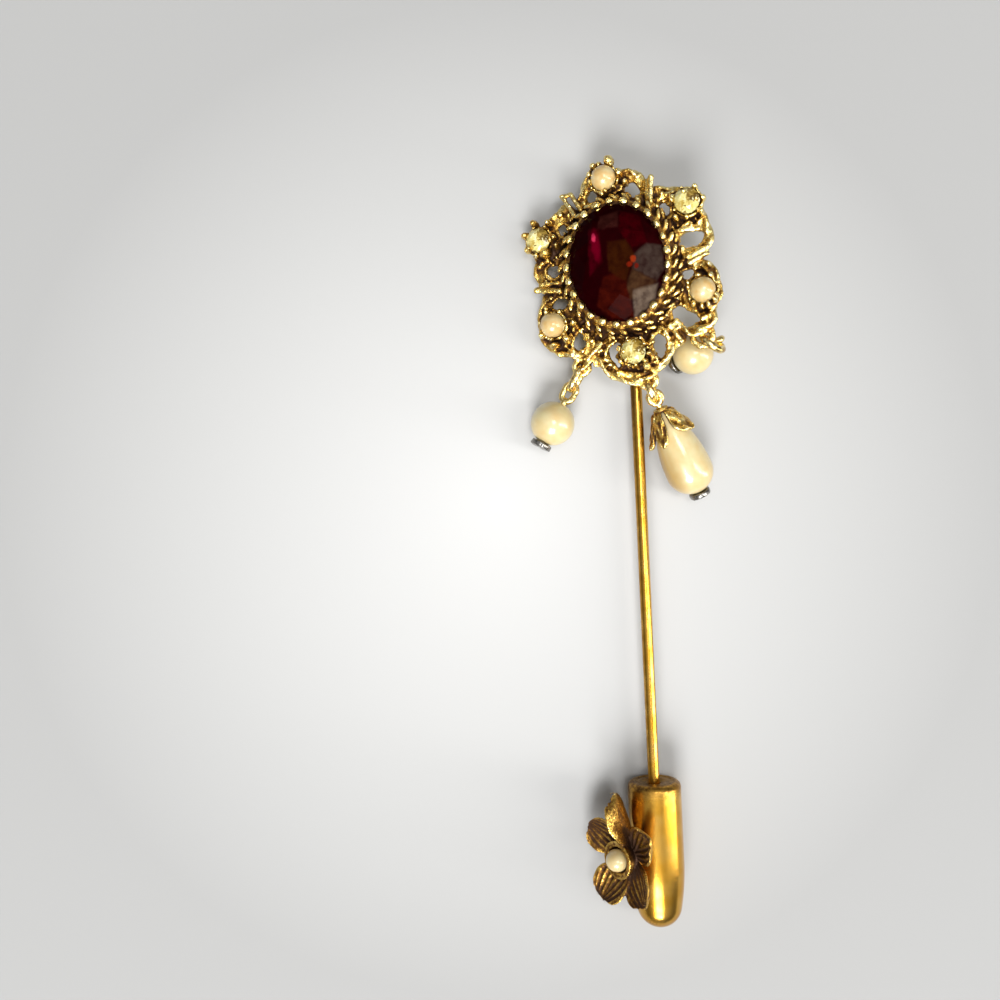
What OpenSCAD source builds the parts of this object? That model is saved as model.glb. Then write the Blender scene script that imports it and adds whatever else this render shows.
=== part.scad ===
// Stick pin lying on its side: an openwork head with an oval stone, three
// pearl drops on links, a long stem and a sliding guard with a flower.
// The stem runs along Y, the head at +Y, and everything rests on Z = 0.

/* [Stem] */
// Diameter of the stem's straight shank
stem_d = 0.95; // [0.8:0.05:1]
// Diameter of the stem at the head
stem_top_d = 1; // [0.9:0.05:1.1]
// Length of the stem from its seat in the head to its point
stem_len = 51.6; // [46:0.2:58]
// Length of the stem's upper part, which tapers down to the shank
upper_len = 21; // [20:0.5:26]
// Length of the ground point
point_len = 6; // [4:0.5:8]
// How far the stem lies beside the middle of the head
stem_off = 0.6; // [0.2:0.1:0.9]

/* [Guard] */
// Outer diameter of the guard's barrel
sheath_d = 4.45; // [4.1:0.05:5]
// Length of the guard
sheath_len = 12.2; // [11.4:0.2:15]
// How far the stem goes into the guard
sheath_cover = 9.6; // [8.6:0.2:10]
// Inside diameter of the guard's hollow
hollow_d = 2.6; // [2:0.1:3]
// Length of the grip that holds the stem
grip_len = 2.6; // [1.6:0.2:3.4]
// Radius of the rolled mouth
mouth_r = 0.48; // [0.35:0.01:0.55]
// Length of the slow taper before the nose
taper_len = 3.9; // [3:0.1:4.5]
// How much the radius shrinks along the taper
taper_drop = 0.36; // [0.2:0.02:0.5]

/* [Flower] */
// Turn of the flower round the barrel, from straight up to the left
flower_lean = 54; // [35:1:60]
// Distance of the flower's middle from the guard's mouth
flower_at = 5.6; // [5.4:0.1:6.6]
// Height of the petals' base above the barrel
flower_rise = 0.85; // [0.7:0.05:1.2]
// Length of a petal from the flower's middle
petal_len = 4.4; // [4:0.1:4.8]
// Greatest width of a petal
petal_w = 3.3; // [2.6:0.1:3.6]
// Thickness of a petal
petal_t = 0.32; // [0.25:0.01:0.45]
// Outer diameter of the flower's pearl cup
bowl_d = 3; // [2.6:0.1:3.3]
// Diameter of the flower's pearl
flower_pearl_d = 1.8; // [1.5:0.1:2]

/* [Head] */
// Radius of the circle through the six small settings
station_r = 7.3; // [7:0.1:8]
// Thickness of the cast wire of the arches
wire_d = 0.86; // [0.7:0.02:1]
// Radius where neighbouring arches meet
notch_r = 6.9; // [6.6:0.1:7.4]
// How far the arches sit towards the drops
arch_shift = 0.4; // [0:0.05:0.6]
// Turn of the head on the stem
head_spin = 7.3; // [0:0.1:12]
// Diameter of the six small pearls and stones
small_d = 2.05; // [1.8:0.05:2.2]
// Depth of the small cups behind the head's middle plane
cup_depth = 0.62; // [0.5:0.02:0.8]
// Size of the prongs round the small cups
prong_d = 0.58; // [0.45:0.01:0.65]

/* [Oval stone] */
// Width of the oval stone
stone_w = 8; // [7.4:0.1:8.4]
// Length of the oval stone
stone_l = 9.8; // [9:0.1:10.4]
// Height of the stone's crown above its girdle
crown_h = 1.25; // [0.8:0.05:1.6]
// Height of the girdle above the head's middle plane
girdle_z = 1.5; // [1.3:0.05:1.7]
// How far the bezel's lip laps over the stone
lip_lap = 0.33; // [0.2:0.01:0.4]
// Number of grains in each row of raised work round the stone
grain_count = 28; // [24:1:32]
// Width of a row of grains
grain_d = 0.68; // [0.5:0.02:0.76]

/* [Drops] */
// Diameter of the left pearl
left_pearl_d = 3.72; // [3:0.02:4.2]
// Diameter of the right pearl
right_pearl_d = 3.4; // [3:0.02:3.6]
// Greatest diameter of the teardrop pearl
tear_d = 4; // [3.6:0.05:4.3]
// Length of the teardrop pearl
tear_len = 7.8; // [7:0.1:8.6]
// Wire of the head pins
pin_d = 0.4; // [0.3:0.02:0.44]
// Wire of the links
link_d = 0.44; // [0.36:0.02:0.5]
// Diameter of the head pins' flat ends
disc_d = 1.7; // [1.2:0.05:1.9]
// Thickness of the bead cap's leaves
leaf_t = 0.26; // [0.2:0.01:0.32]

/* [Hidden] */

$fn = 40;
gold = "goldenrod";
cream = "wheat";
silver = "lightslategray";

// Clearances between separate pieces
fit = 0.03;
seat_gap = 0.04;
point_room = 0.1;
run_fit = 0.05;

stem_r = stem_d / 2;
stem_top_r = stem_top_d / 2;
sheath_r = sheath_d / 2;
small_r = small_d / 2;
stem_z = sheath_r;

// The six settings: angle round the head, reach of their arch as a share
// of station_r, and how far their prongs spread as a share of the cup's top
ANGLE = 0;
REACH = 1;
SPREAD = 2;
stations = [[90, 1.06, 1], [30, 1.07, 1], [-30, 1.1, 1],
  [-90, 1.16, 1], [-150, 1.07, 1], [150, 1.05, 1.22]];

// The twelve openings cut through the head: angle round the head, distance
// from its middle as a share of station_r, and length along the radius and
// width across it, both as shares of station_r
HOLE_AT = 1;
HOLE_LONG = 2;
HOLE_WIDE = 3;
holes = [[69, 0.86, 0.19, 0.2], [106, 0.84, 0.14, 0.13], [133, 0.81, 0.17, 0.17],
  [42, 0.8, 0.2, 0.17], [8, 0.84, 0.21, 0.27], [-19, 0.81, 0.2, 0.15],
  [-49, 0.98, 0.2, 0.29], [-74, 1.02, 0.26, 0.17], [-105, 0.98, 0.27, 0.16],
  [-130, 0.96, 0.22, 0.19], [-163, 0.82, 0.17, 0.18], [171, 0.78, 0.17, 0.17]];

// Half the head's own thickness, its socket and the plane it lies in
wire_r = wire_d / 2;
plate_z = -0.4;
plate_t = 0.45;
web_z = -0.36;
web_t = 0.55;
cup_foot_r = small_r + 0.15;
cup_top_r = small_r + 0.35;
small_z = small_r + 0.02;
lift = cup_depth + seat_gap + stem_top_r;
seat_back = 1;
socket_len = 5.2;
socket_wall = 0.34;

// The head leans until the foot of its left cup meets the surface
low_angle = stations[5][ANGLE] + head_spin;
low_reach = stem_off - station_r * cos(low_angle) + cup_foot_r;
low_drop = lift - cup_depth;
lean = asin(stem_z / norm([low_reach, low_drop])) + atan2(low_drop, low_reach);

// Where the head's middle lies, from the stem's axis
head_at = [-lift * sin(lean) - stem_off * cos(lean), 0,
  stem_z + lift * cos(lean) - stem_off * sin(lean)];

// A direction and a point of the head, given in the head's own axes
function spun(p) = [p.x * cos(head_spin) - p.y * sin(head_spin),
  p.x * sin(head_spin) + p.y * cos(head_spin), p.z];
function leant(p) = [p.x * cos(lean) - p.z * sin(lean), p.y,
  p.x * sin(lean) + p.z * cos(lean)];
function head_dir(p) = leant(spun(p));
function head_point(p) = head_at + head_dir(p);
function polar(radius, angle) = [radius * cos(angle), radius * sin(angle), 0];
function unit(v) = v / norm(v);

// A cut stone's table and the tips of its stars, as shares of its radius
table = 0.58;
star = 0.82;
function star_rise(crown) = crown * (1 - star * cos(22.5)) / (1 - table);

// Bezel opening and the heights of the stone's cup
open_a = stone_w / 2 - lip_lap;
open_b = stone_l / 2 - lip_lap;
girdle_t = 0.2;
crown_slope = star_rise(crown_h) / (stone_w / 2 * (1 - star));
lip_z = girdle_z + girdle_t / 2 + (lip_lap + seat_gap) * crown_slope + 0.12;
floor_z = plate_z + plate_t;
base_out = 1.32;

// Eyelets: radius to the middle of their wire, angle and distance from the
// head's middle. The outer two hang below notches, the middle one below a cup
eyelet_wire = 0.46;
eyelet_r = [0.6, 0.62, 0.78];
eyelet_angles = [-122, -86.2, -52];
eyelet_at = [notch_r + 1.933, station_r + 2.45, notch_r + 2.185];
function eyelet(i) = polar(eyelet_at[i], eyelet_angles[i]);
function rim_dir(i) = head_dir(polar(1, eyelet_angles[i]));
function rim_side(i) = head_dir(polar(1, eyelet_angles[i] + 90));
function rim_at(i) = head_point(eyelet(i)) + eyelet_r[i] * rim_dir(i);

// A drop hangs from an eyelet's rim. Its link and head pin lie on one line,
// in this order: rim, link, pin's eye, pearl
link_slack = link_d / 2 + eyelet_wire / 2 + 0.06;
eye_slack = link_d / 2 + pin_d / 2 + seat_gap;
function link_reach(half) = 2 * half - link_slack;
function link_run(half) = link_reach(half) - eye_slack;

EYE_HALF = 0;
EYE_SIDE = 1;
LINK_HALF = 2;
LINK_SIDE = 3;
left_eye = [0.78, 0.5, 1.0, 0.62];
middle_eye = [0.5, 0.5, 0.72, 0.62];
right_eye = [0.5, 0.5, 1.1, 0.95];

// Length along a head pin from its eye's near wire to the pearl's middle
shank = 0.1;
function pin_run(eye, pearl_r) = 2 * eye[EYE_HALF] + pin_d / 2 + shank + pearl_r;

// Headings seen from above, clockwise from straight down the stem
left_turn = 31;
middle_turn = -25;
right_turn = 114;
right_link_turn = -108;
right_rise = 47;

// Direction of a straight drop whose pearl, of the given radius, rests on
// the surface at a distance run from the rim
function resting(from, turn, run, pearl_r) =
  let (down = (from.z - pearl_r) / run, flat = sqrt(1 - down * down))
  [-flat * sin(turn), -flat * cos(turn), -down];

left_r = left_pearl_d / 2;
left_run = link_run(left_eye[LINK_HALF]) + pin_run(left_eye, left_r);
left_dir = resting(rim_at(0), left_turn, left_run, left_r);
left_at = rim_at(0) + left_run * left_dir;

// The teardrop: its wide end, its narrow end and the flanks between them
tear_r = tear_d / 2;
tear_top_r = 0.4 * tear_r;
tear_flank = 6 * tear_r;
tear_wide = tear_len - tear_r;
tear_span = tear_len - tear_r - tear_top_r;
tear_centre = let (a = tear_flank - tear_r, b = tear_flank - tear_top_r,
    w = (b * b - a * a + tear_span * tear_span) / (2 * tear_span))
  [-sqrt(b * b - w * w), tear_top_r + w];
cap_gap = leaf_t + 0.06;
middle_run = link_run(middle_eye[LINK_HALF]) + 2 * middle_eye[EYE_HALF] + pin_d / 2
  + shank + cap_gap + tear_wide;
middle_dir = resting(rim_at(1), middle_turn, middle_run, tear_r);
middle_at = rim_at(1) + (middle_run - tear_wide) * middle_dir;

// The right drop leans on the edge of its head pin's disc, under the head
disc_t = 0.34;
right_r = right_pearl_d / 2;
right_z = (right_r + fit + disc_t) * sin(right_rise) + disc_d / 2 * cos(right_rise);
right_axis = [cos(right_rise) * sin(right_turn), -cos(right_rise) * cos(right_turn),
  sin(right_rise)];
right_pin_run = pin_run(right_eye, right_r);
right_hold_z = right_z + (right_pin_run - right_eye[EYE_HALF]) * sin(right_rise);
right_link_dir = resting(rim_at(2), right_link_turn,
  link_reach(right_eye[LINK_HALF]), right_hold_z);
right_eye_at = rim_at(2) + link_reach(right_eye[LINK_HALF]) * right_link_dir
  + right_eye[EYE_HALF] * right_axis;
right_at = right_eye_at - right_pin_run * right_axis;

// Places along the stem, from the middle of the head
point_y = -seat_back - stem_len;
mouth_y = point_y + sheath_cover;
tip_y = mouth_y - sheath_len;
flower_y = mouth_y - flower_at;
flower_base = sheath_r + flower_rise;

// The part's origin is below the middle of everything
head_top = station_r + cup_top_r;
left_edge = head_point(polar(station_r, stations[5][ANGLE])
  + [-cup_top_r * stations[5][SPREAD], 0, small_z]).x;
right_edge = right_eye_at.x + right_eye[EYE_SIDE];
middle = [(left_edge + right_edge) / 2, (tip_y + head_top) / 2, 0];

module lay() {
  translate(-middle) children();
}

module on_head() {
  lay() translate(head_at) rotate([0, -lean, 0]) rotate(head_spin) children();
}

// Sets a child with its X axis along x_dir and its Z axis near z_hint
module place(at, x_dir, z_hint) {
  x = unit(x_dir);
  y = unit(cross(z_hint, x));
  z = cross(x, y);
  lay() multmatrix([[x.x, y.x, z.x, at.x], [x.y, y.y, z.y, at.y],
    [x.z, y.z, z.z, at.z], [0, 0, 0, 1]]) children();
}

// Rows of grains down the bezel: distance out from its opening, height, and
// how far the grains slant along the row
rows = [[0.5, lip_z - 0.22, 0], [0.95, 0.98, 0.45], [1.2, 0.35, -0.45]];

// The bezel: the lip over the stone, the rows of grains, the foot and the
// stone's seat. Each point of its section is distance out, height, how far out
// and up a grain lifts it, and its shift along the row
module bezel() {
  low = 0.1;
  rise = grain_d / 2 - low;
  seat_out = lip_lap + seat_gap;
  section = concat(
    [[0, lip_z, 0, 0, 0], [0.2, lip_z + 0.02, 0, 0, 0]],
    [for (row = rows, f = [110, 35, -45]) [row[0] + low * cos(f), row[1] + low * sin(f),
      rise * cos(f), rise * sin(f), row[2] * f / 110]],
    [for (p = [[base_out, -wire_r], [-0.35, -wire_r], [-0.35, girdle_z - 0.42],
      [seat_out, girdle_z - girdle_t / 2 - 0.06], [seat_out, girdle_z + girdle_t / 2 + 0.02],
      [0, lip_z - 0.1]]) [p[0], p[1], 0, 0, 0]]);
  count = len(section);
  sides = 4 * grain_count;
  points = [for (i = [0:sides - 1], p = section)
    let (w = abs(cos(180 * (i / 4 + p[4]))), a = 360 * i / sides, out = p[0] + w * p[2])
    [(open_a + out) * cos(a), (open_b + out) * sin(a), p[1] + w * p[3]]];
  faces = [for (i = [0:sides - 1], j = [0:count - 1])
    let (here = i * count, next = (i + 1) % sides * count, k = (j + 1) % count)
    [here + j, next + j, next + k, here + k]];
  polyhedron(points, faces);
}

// A faceted stone: eight-sided table, stars, kites and girdle facets
module cut_stone(a, b, crown, girdle, pavilion) {
  low = 0.5;
  star_z = girdle / 2 + star_rise(crown);
  low_z = pavilion * (1 - low * cos(22.5));
  points = concat(
    [for (k = [0:7]) [table * a * cos(45 * k), table * b * sin(45 * k), girdle / 2 + crown]],
    [for (k = [0:7]) [star * a * cos(45 * k + 22.5), star * b * sin(45 * k + 22.5), star_z]],
    [for (k = [0:15]) [a * cos(22.5 * k), b * sin(22.5 * k), girdle / 2]],
    [for (k = [0:15]) [a * cos(22.5 * k), b * sin(22.5 * k), -girdle / 2]],
    [for (k = [0:7])
      [low * a * cos(45 * k + 22.5), low * b * sin(45 * k + 22.5), -girdle / 2 - low_z]],
    [[0, 0, -girdle / 2 - pavilion]]);
  T = 0;
  M = 8;
  G = 16;
  H = 32;
  L = 48;
  culet = 56;
  faces = concat(
    [[for (k = [7:-1:0]) T + k]],
    [for (k = [0:7]) [T + k, T + (k + 1) % 8, M + k]],
    [for (k = [0:7]) [T + k, M + k, G + 2 * k, M + (k + 7) % 8]],
    [for (k = [0:7]) [M + k, G + 2 * k + 1, G + 2 * k]],
    [for (k = [0:7]) [M + k, G + (2 * k + 2) % 16, G + 2 * k + 1]],
    [for (k = [0:15]) [G + k, G + (k + 1) % 16, H + (k + 1) % 16, H + k]],
    [for (k = [0:7]) [L + k, H + 2 * k, H + 2 * k + 1]],
    [for (k = [0:7]) [L + k, H + 2 * k + 1, H + (2 * k + 2) % 16]],
    [for (k = [0:7]) [culet, L + (k + 7) % 8, H + 2 * k, L + k]]);
  polyhedron(points, faces);
}

// A thin shell between two grids of points, given one after the other
module shell(points, rows, cols) {
  w = cols + 1;
  n = (rows + 1) * w;
  function wall(a, b) = [a, b, b + n, a + n];
  faces = concat(
    [for (i = [0:rows - 1], j = [0:cols - 1]) let (k = i * w + j) [k, k + 1, k + w + 1, k + w]],
    [for (i = [0:rows - 1], j = [0:cols - 1]) let (k = n + i * w + j)
      [k, k + w, k + w + 1, k + 1]],
    [for (i = [0:rows - 1]) wall(i * w, (i + 1) * w)],
    [for (i = [0:rows - 1]) wall((i + 1) * w + cols, i * w + cols)],
    [for (j = [0:cols - 1]) wall(j + 1, j)],
    [for (j = [0:cols - 1]) wall(rows * w + j, rows * w + j + 1)]);
  polyhedron(points, faces);
}

// A wire loop with straight sides: half its length and half its width are
// measured to the middle of the wire. It starts at the origin and runs along X
module long_loop(half, side, wire) {
  straight = max(half - side, 0.02);
  for (end = [-1, 1])
    translate([half + end * straight, 0, 0]) rotate(-90 * end)
      rotate_extrude(angle = 180) translate([side, 0]) circle(d = wire, $fn = 24);
  for (flank = [-1, 1])
    translate([half - straight, flank * side, 0]) rotate([0, 90, 0])
      cylinder(d = wire, h = 2 * straight, $fn = 24);
}

module small_cup() {
  cylinder(r1 = cup_foot_r, r2 = cup_top_r - 0.06, h = cup_depth + small_z, $fn = 14);
}

module station(i) {
  rotate(stations[i][ANGLE]) translate([station_r, 0, 0]) children();
}

module prong_cups() {
  for (i = [0:5]) station(i) {
    translate([0, 0, -cup_depth]) small_cup();
    for (k = [0:5]) rotate(60 * k + 30)
      translate([(cup_top_r - prong_d / 2 + 0.04) * stations[i][SPREAD], 0, small_z])
      scale([2 * stations[i][SPREAD] - 1, 1, 1]) sphere(d = prong_d, $fn = 6);
  }
}

// Each arch is part of a circle through two notches and its own reach
function arch_centre(reach) =
  (reach * reach - notch_r * notch_r) / (2 * (reach - notch_r * cos(30)));

// Wire arches that run from notch to notch, round the outside of each cup
module arches() {
  translate([0, -arch_shift, 0]) for (s = stations) {
    reach = s[REACH] * station_r;
    centre = arch_centre(reach);
    half = atan2(notch_r * sin(30), notch_r * cos(30) - centre);
    rotate(s[ANGLE]) translate([centre, 0, 0]) rotate(-half)
      rotate_extrude(angle = 2 * half, $fn = 27)
        translate([reach - centre, 0]) circle(d = wire_d, $fn = 7);
  }
}

// The pierced web inside the arches
module web() {
  translate([0, 0, web_z]) linear_extrude(web_t) difference() {
    translate([0, -arch_shift]) for (s = stations) {
      reach = s[REACH] * station_r;
      rotate(s[ANGLE]) translate([arch_centre(reach), 0])
        circle(r = reach - arch_centre(reach), $fn = 36);
    }
    for (h = holes) rotate(h[ANGLE]) translate([h[HOLE_AT] * station_r, 0])
      scale([h[HOLE_LONG] * station_r / 2, h[HOLE_WIDE] * station_r / 2]) circle(1, $fn = 12);
    scale([open_a + 0.4, open_b + 0.4]) circle(1, $fn = 24);
  }
}

// Raised double wires across the notches
bar_d = 0.52;
bar_out = notch_r + 0.75;
bar_in = open_a + base_out + 0.1;
module bars() {
  for (k = [0:5], side = [-1, 1]) translate([0, -arch_shift, 0]) rotate(60 * k)
    translate([0, side * bar_d / 2, 0]) hull() {
      translate([bar_in, 0, 0.5]) rotate([0, 90, 0]) cylinder(d = bar_d, h = 0.1, $fn = 6);
      translate([bar_out, 0, 0.25]) rotate([0, 90, 0]) cylinder(d = bar_d, h = 0.1, $fn = 6);
    }
}

module eyelets() {
  for (i = [0:2]) translate(eyelet(i))
    rotate_extrude($fn = 14) translate([eyelet_r[i], 0]) circle(d = eyelet_wire, $fn = 6);
  for (i = [0:2]) hull() {
    translate(eyelet(i) - polar(eyelet_r[i], eyelet_angles[i])) sphere(d = eyelet_wire, $fn = 6);
    translate(eyelet(i) - polar(eyelet_r[i] + 0.5, eyelet_angles[i])) sphere(d = wire_d, $fn = 6);
  }
}

// A straight rod on the stem's axis between two places along Y
module stem_rod(r, from, to) {
  translate([0, from, stem_z]) rotate([90, 0, 0]) cylinder(r = r, h = from - to, $fn = 24);
}

module head_frame() {
  color(gold) difference() {
    union() {
      on_head() {
        bezel();
        translate([0, 0, plate_z]) scale([open_a + 0.6, open_b + 0.6, 1])
          cylinder(r = 1, h = plate_t, $fn = 32);
        prong_cups();
        web();
        arches();
        bars();
        eyelets();
      }
      lay() stem_rod(stem_top_r + fit + socket_wall, 0.4, -seat_back - socket_len);
    }
    on_head() for (i = [0:5]) station(i) translate([0, 0, small_z - small_r - fit])
      cylinder(r = (small_r + seat_gap) / cos(180 / 14), h = 2 * small_d, $fn = 14);
    lay() stem_rod(stem_top_r + fit, -seat_back, -seat_back - socket_len - 1);
  }
}

module centre_stone() {
  color("maroon") on_head() translate([0, 0, girdle_z])
    cut_stone(stone_w / 2, stone_l / 2, crown_h, girdle_t, girdle_z - girdle_t / 2 - floor_z - seat_gap);
}

module setting_pearl(i) {
  color(cream) on_head() station(i) translate([0, 0, small_z]) sphere(r = small_r);
}

module setting_stone(i) {
  color("khaki") on_head() station(i) translate([0, 0, small_z])
    cut_stone(small_r, small_r, 0.36 * small_r, 0.12, 0.7 * small_r);
}

// The stem's outline: distance from its seat and radius. The straight shank
// ends just above the guard, and the stem thins slowly inside it
stem_outline = [[fit, stem_top_r], [upper_len, stem_r], [stem_len - sheath_cover - 0.2, stem_r],
  [stem_len - point_len, 0.95 * stem_r], [stem_len, 0.06]];

module stem() {
  color(gold) lay() for (i = [1:len(stem_outline) - 1]) {
    above = stem_outline[i - 1];
    below = stem_outline[i];
    translate([0, -seat_back - above[0], stem_z]) rotate([90, 0, 0])
      cylinder(r1 = above[1], r2 = below[1], h = below[0] - above[0]);
  }
}

// A link that holds an eyelet's rim and runs along a direction
module link(i, along, eye) {
  color(gold) place(rim_at(i) - link_slack * along, along, rim_side(i))
    long_loop(eye[LINK_HALF], eye[LINK_SIDE], link_d);
}

// A head pin along a direction: eye, shank through the pearl, and flat end.
// Its eye lies across the link that holds it
module head_pin(i, at, along, eye, body_len, link_dir) {
  neck = pin_d / 2 + shank;
  color(silver) place(at, along, cross(link_dir, rim_side(i))) {
    long_loop(eye[EYE_HALF], eye[EYE_SIDE], pin_d);
    translate([2 * eye[EYE_HALF], 0, 0]) rotate([0, 90, 0]) {
      cylinder(d = pin_d, h = neck + body_len + 2 * fit);
      translate([0, 0, neck + body_len + fit]) cylinder(d = disc_d, h = disc_t);
    }
  }
}

module left_head_pin() {
  head_pin(0, left_at - pin_run(left_eye, left_r) * left_dir, left_dir, left_eye, left_pearl_d,
    left_dir);
}

module middle_head_pin() {
  eye_at = rim_at(1) + link_run(middle_eye[LINK_HALF]) * middle_dir;
  head_pin(1, eye_at, middle_dir, middle_eye, cap_gap + tear_len, middle_dir);
}

module right_head_pin() {
  head_pin(2, right_eye_at, -right_axis, right_eye, right_pearl_d, right_link_dir);
}

module drilled_ball(at, along, r) {
  color(cream) place(at, along, [0, 0, 1]) rotate([0, 90, 0])
    rotate_extrude($fn = 64) intersection() {
      circle(r = r, $fn = 64);
      translate([pin_d / 2 + fit, -r]) square(2 * r);
    }
}

// Radius of the teardrop at a distance from its narrow end
function tear_profile(t) =
  let (c = tear_centre,
    top_end = tear_top_r + (c.y - tear_top_r) * -tear_top_r / (tear_flank - tear_top_r),
    low_start = tear_wide + (tear_wide - c.y) * tear_r / (tear_flank - tear_r))
  t < top_end ? sqrt(max(0, tear_top_r * tear_top_r - pow(t - tear_top_r, 2)))
  : t < low_start ? c.x + sqrt(tear_flank * tear_flank - pow(t - c.y, 2))
  : sqrt(max(0, tear_r * tear_r - pow(t - tear_wide, 2)));

module middle_pearl() {
  steps = 28;
  outline = [for (i = [0:steps]) let (t = tear_len * (1 - cos(180 * i / steps)) / 2)
    [i % steps == 0 ? 0 : tear_profile(t), t]];
  color(cream) place(middle_at, middle_dir, [0, 0, 1]) rotate([0, 90, 0]) difference() {
    rotate_extrude($fn = 64) polygon(outline);
    translate([0, 0, -1]) cylinder(d = pin_d + 2 * fit, h = tear_len + 2);
  }
}

// Five leaves that follow the teardrop's shoulder, joined round its top
leaf_count = 5;
leaf_len = 2.5;
leaf_neck = 0.3;
module leaf(turn) {
  rows = 5;
  cols = 6;
  function half_angle(u) = 186 / leaf_count * (u < leaf_neck ? 1
    : sqrt(max(0.02, 1 - pow((u - leaf_neck) / (1 - leaf_neck), 2))));
  function skin(u, v, out) =
    let (t = 0.12 + u * leaf_len, r = tear_profile(t) + 0.06 + out + 0.3 * u * u * u,
      a = turn + half_angle(u) * v)
    [r * cos(a), r * sin(a), t - (1 - u) * (cap_gap - 0.02) * (out + 0.06) / cap_gap];
  shell([for (out = [0, leaf_t], i = [0:rows], j = [0:cols])
    skin(i / rows, 2 * j / cols - 1, out)], rows, cols);
}

module middle_bead_cap() {
  color(gold) place(middle_at, middle_dir, [0, 0, 1]) rotate([0, 90, 0]) {
    for (k = [0:leaf_count - 1]) leaf(360 * (k + 0.25) / leaf_count);
    difference() {
      translate([0, 0, -cap_gap]) cylinder(r = tear_profile(0.2) + 0.2, h = cap_gap - 0.02, $fn = 24);
      translate([0, 0, -1]) cylinder(d = pin_d + 2 * fit, h = 2, $fn = 24);
    }
  }
}

// The guard's wall turned round the stem: z runs from the mouth to the nose
module barrel() {
  flank_r = (taper_len * taper_len + taper_drop * taper_drop) / (2 * taper_drop);
  turn = asin(taper_len / flank_r);
  nose_r = (sheath_r - taper_drop) / cos(turn);
  nose_z = sheath_len - nose_r;
  taper_end = nose_z + nose_r * sin(turn);
  taper_z = taper_end - taper_len;
  grip_z = mouth_r;
  hollow_z = grip_z + grip_len;
  translate([0, mouth_y, stem_z]) rotate([90, 0, 0]) difference() {
    rotate_extrude($fn = 96) {
      translate([sheath_r - mouth_r, mouth_r]) circle(r = mouth_r, $fn = 48);
      translate([0, mouth_r]) square([sheath_r, taper_z - mouth_r]);
      intersection() {
        translate([sheath_r - flank_r, taper_z]) circle(r = flank_r, $fn = 720);
        translate([0, taper_z]) square([sheath_r, taper_len]);
      }
      intersection() {
        translate([0, nose_z]) circle(r = nose_r, $fn = 96);
        translate([0, taper_end]) square([nose_r, nose_r]);
      }
    }
    translate([0, 0, -1]) cylinder(r = stem_r + run_fit, h = hollow_z + 1.2);
    translate([0, 0, hollow_z]) cylinder(d = hollow_d, h = taper_z - hollow_z + 1);
    translate([0, 0, taper_z + 0.99])
      cylinder(d1 = hollow_d, d2 = 1, h = sheath_cover + point_room - taper_z - 0.99);
  }
}

// Petals: angle round the flower, rise above its plane, length as a share
// of petal_len, and twist about their own length
petals = [[36, 10, 0.98, 0], [89, 13, 1.26, -58], [148, 14, 1, 0], [240, 15, 1.04, 0],
  [306, 9, 0.97, 0]];

// Along a petal: distance as a share of its length, then shares of its
// greatest width and of the depth of its hollow
petal_rows = [[0.12, 0.3, 0], [0.3, 0.55, 0.15], [0.5, 0.92, 0.5], [0.7, 1, 0.85],
  [0.88, 0.82, 1], [1, 0.5, 0.9]];
petal_hollow = 0.6;

module petal() {
  cols = 6;
  function skin(row, v, under) =
    [petal_len * row[0] * (1 - 0.16 * v * v), row[1] * v * petal_w / 2,
      petal_hollow * (row[2] * v * v + 0.5 * row[0] * row[0]) - under];
  shell([for (under = [0, petal_t], row = petal_rows, j = [0:cols])
    skin(row, 2 * j / cols - 1, under)], len(petal_rows) - 1, cols);
}

module on_flower() {
  translate([0, flower_y, stem_z]) rotate([0, -flower_lean, 0])
    translate([0, 0, flower_base]) children();
}

bowl_r = bowl_d / 2;
flower_pearl_r = flower_pearl_d / 2;
bowl_wall = 0.3;
bowl_floor = 0.55;
flower_pearl_z = bowl_floor + flower_pearl_r + 0.02;

module flower() {
  on_flower() {
    for (p = petals) rotate(p[0]) rotate([0, -p[1], 0]) rotate([p[3], 0, 0])
      scale(p[2]) petal();
    translate([0, 0, -flower_rise - 0.35]) cylinder(r = 0.95, h = flower_rise + 0.6);
    difference() {
      intersection() {
        translate([0, 0, bowl_r]) sphere(r = bowl_r);
        translate([0, 0, -0.1]) cylinder(r = bowl_r + 1, h = bowl_r + 0.1);
      }
      translate([0, 0, flower_pearl_z]) cylinder(r = bowl_r - bowl_wall, h = bowl_r);
      translate([0, 0, flower_pearl_z]) sphere(r = flower_pearl_r + 0.02);
    }
  }
}

module sheath() {
  color(gold) lay() {
    barrel();
    flower();
  }
}

module flower_pearl() {
  color(cream) lay() on_flower() translate([0, 0, flower_pearl_z]) sphere(r = flower_pearl_r);
}

head_frame();
centre_stone();
setting_pearl(0);  // setting_pearl_1
setting_pearl(2);  // setting_pearl_2
setting_pearl(4);  // setting_pearl_3
setting_stone(1);  // setting_stone_1
setting_stone(3);  // setting_stone_2
setting_stone(5);  // setting_stone_3
stem();
link(0, left_dir, left_eye);  // left_link
left_head_pin();
drilled_ball(left_at, left_dir, left_r);  // left_pearl
link(1, middle_dir, middle_eye);  // middle_link
middle_head_pin();
middle_bead_cap();
middle_pearl();
link(2, right_link_dir, right_eye);  // right_link
right_head_pin();
drilled_ball(right_at, right_axis, right_r);  // right_pearl
sheath();
flower_pearl();
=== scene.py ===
"""Dresses the stick pin: cast filigree head, stones, pearls, drops, stem and flower guard.

Sizes in the forms below are millimetres; every finished piece is scaled to metres
when it is made.
"""

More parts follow.
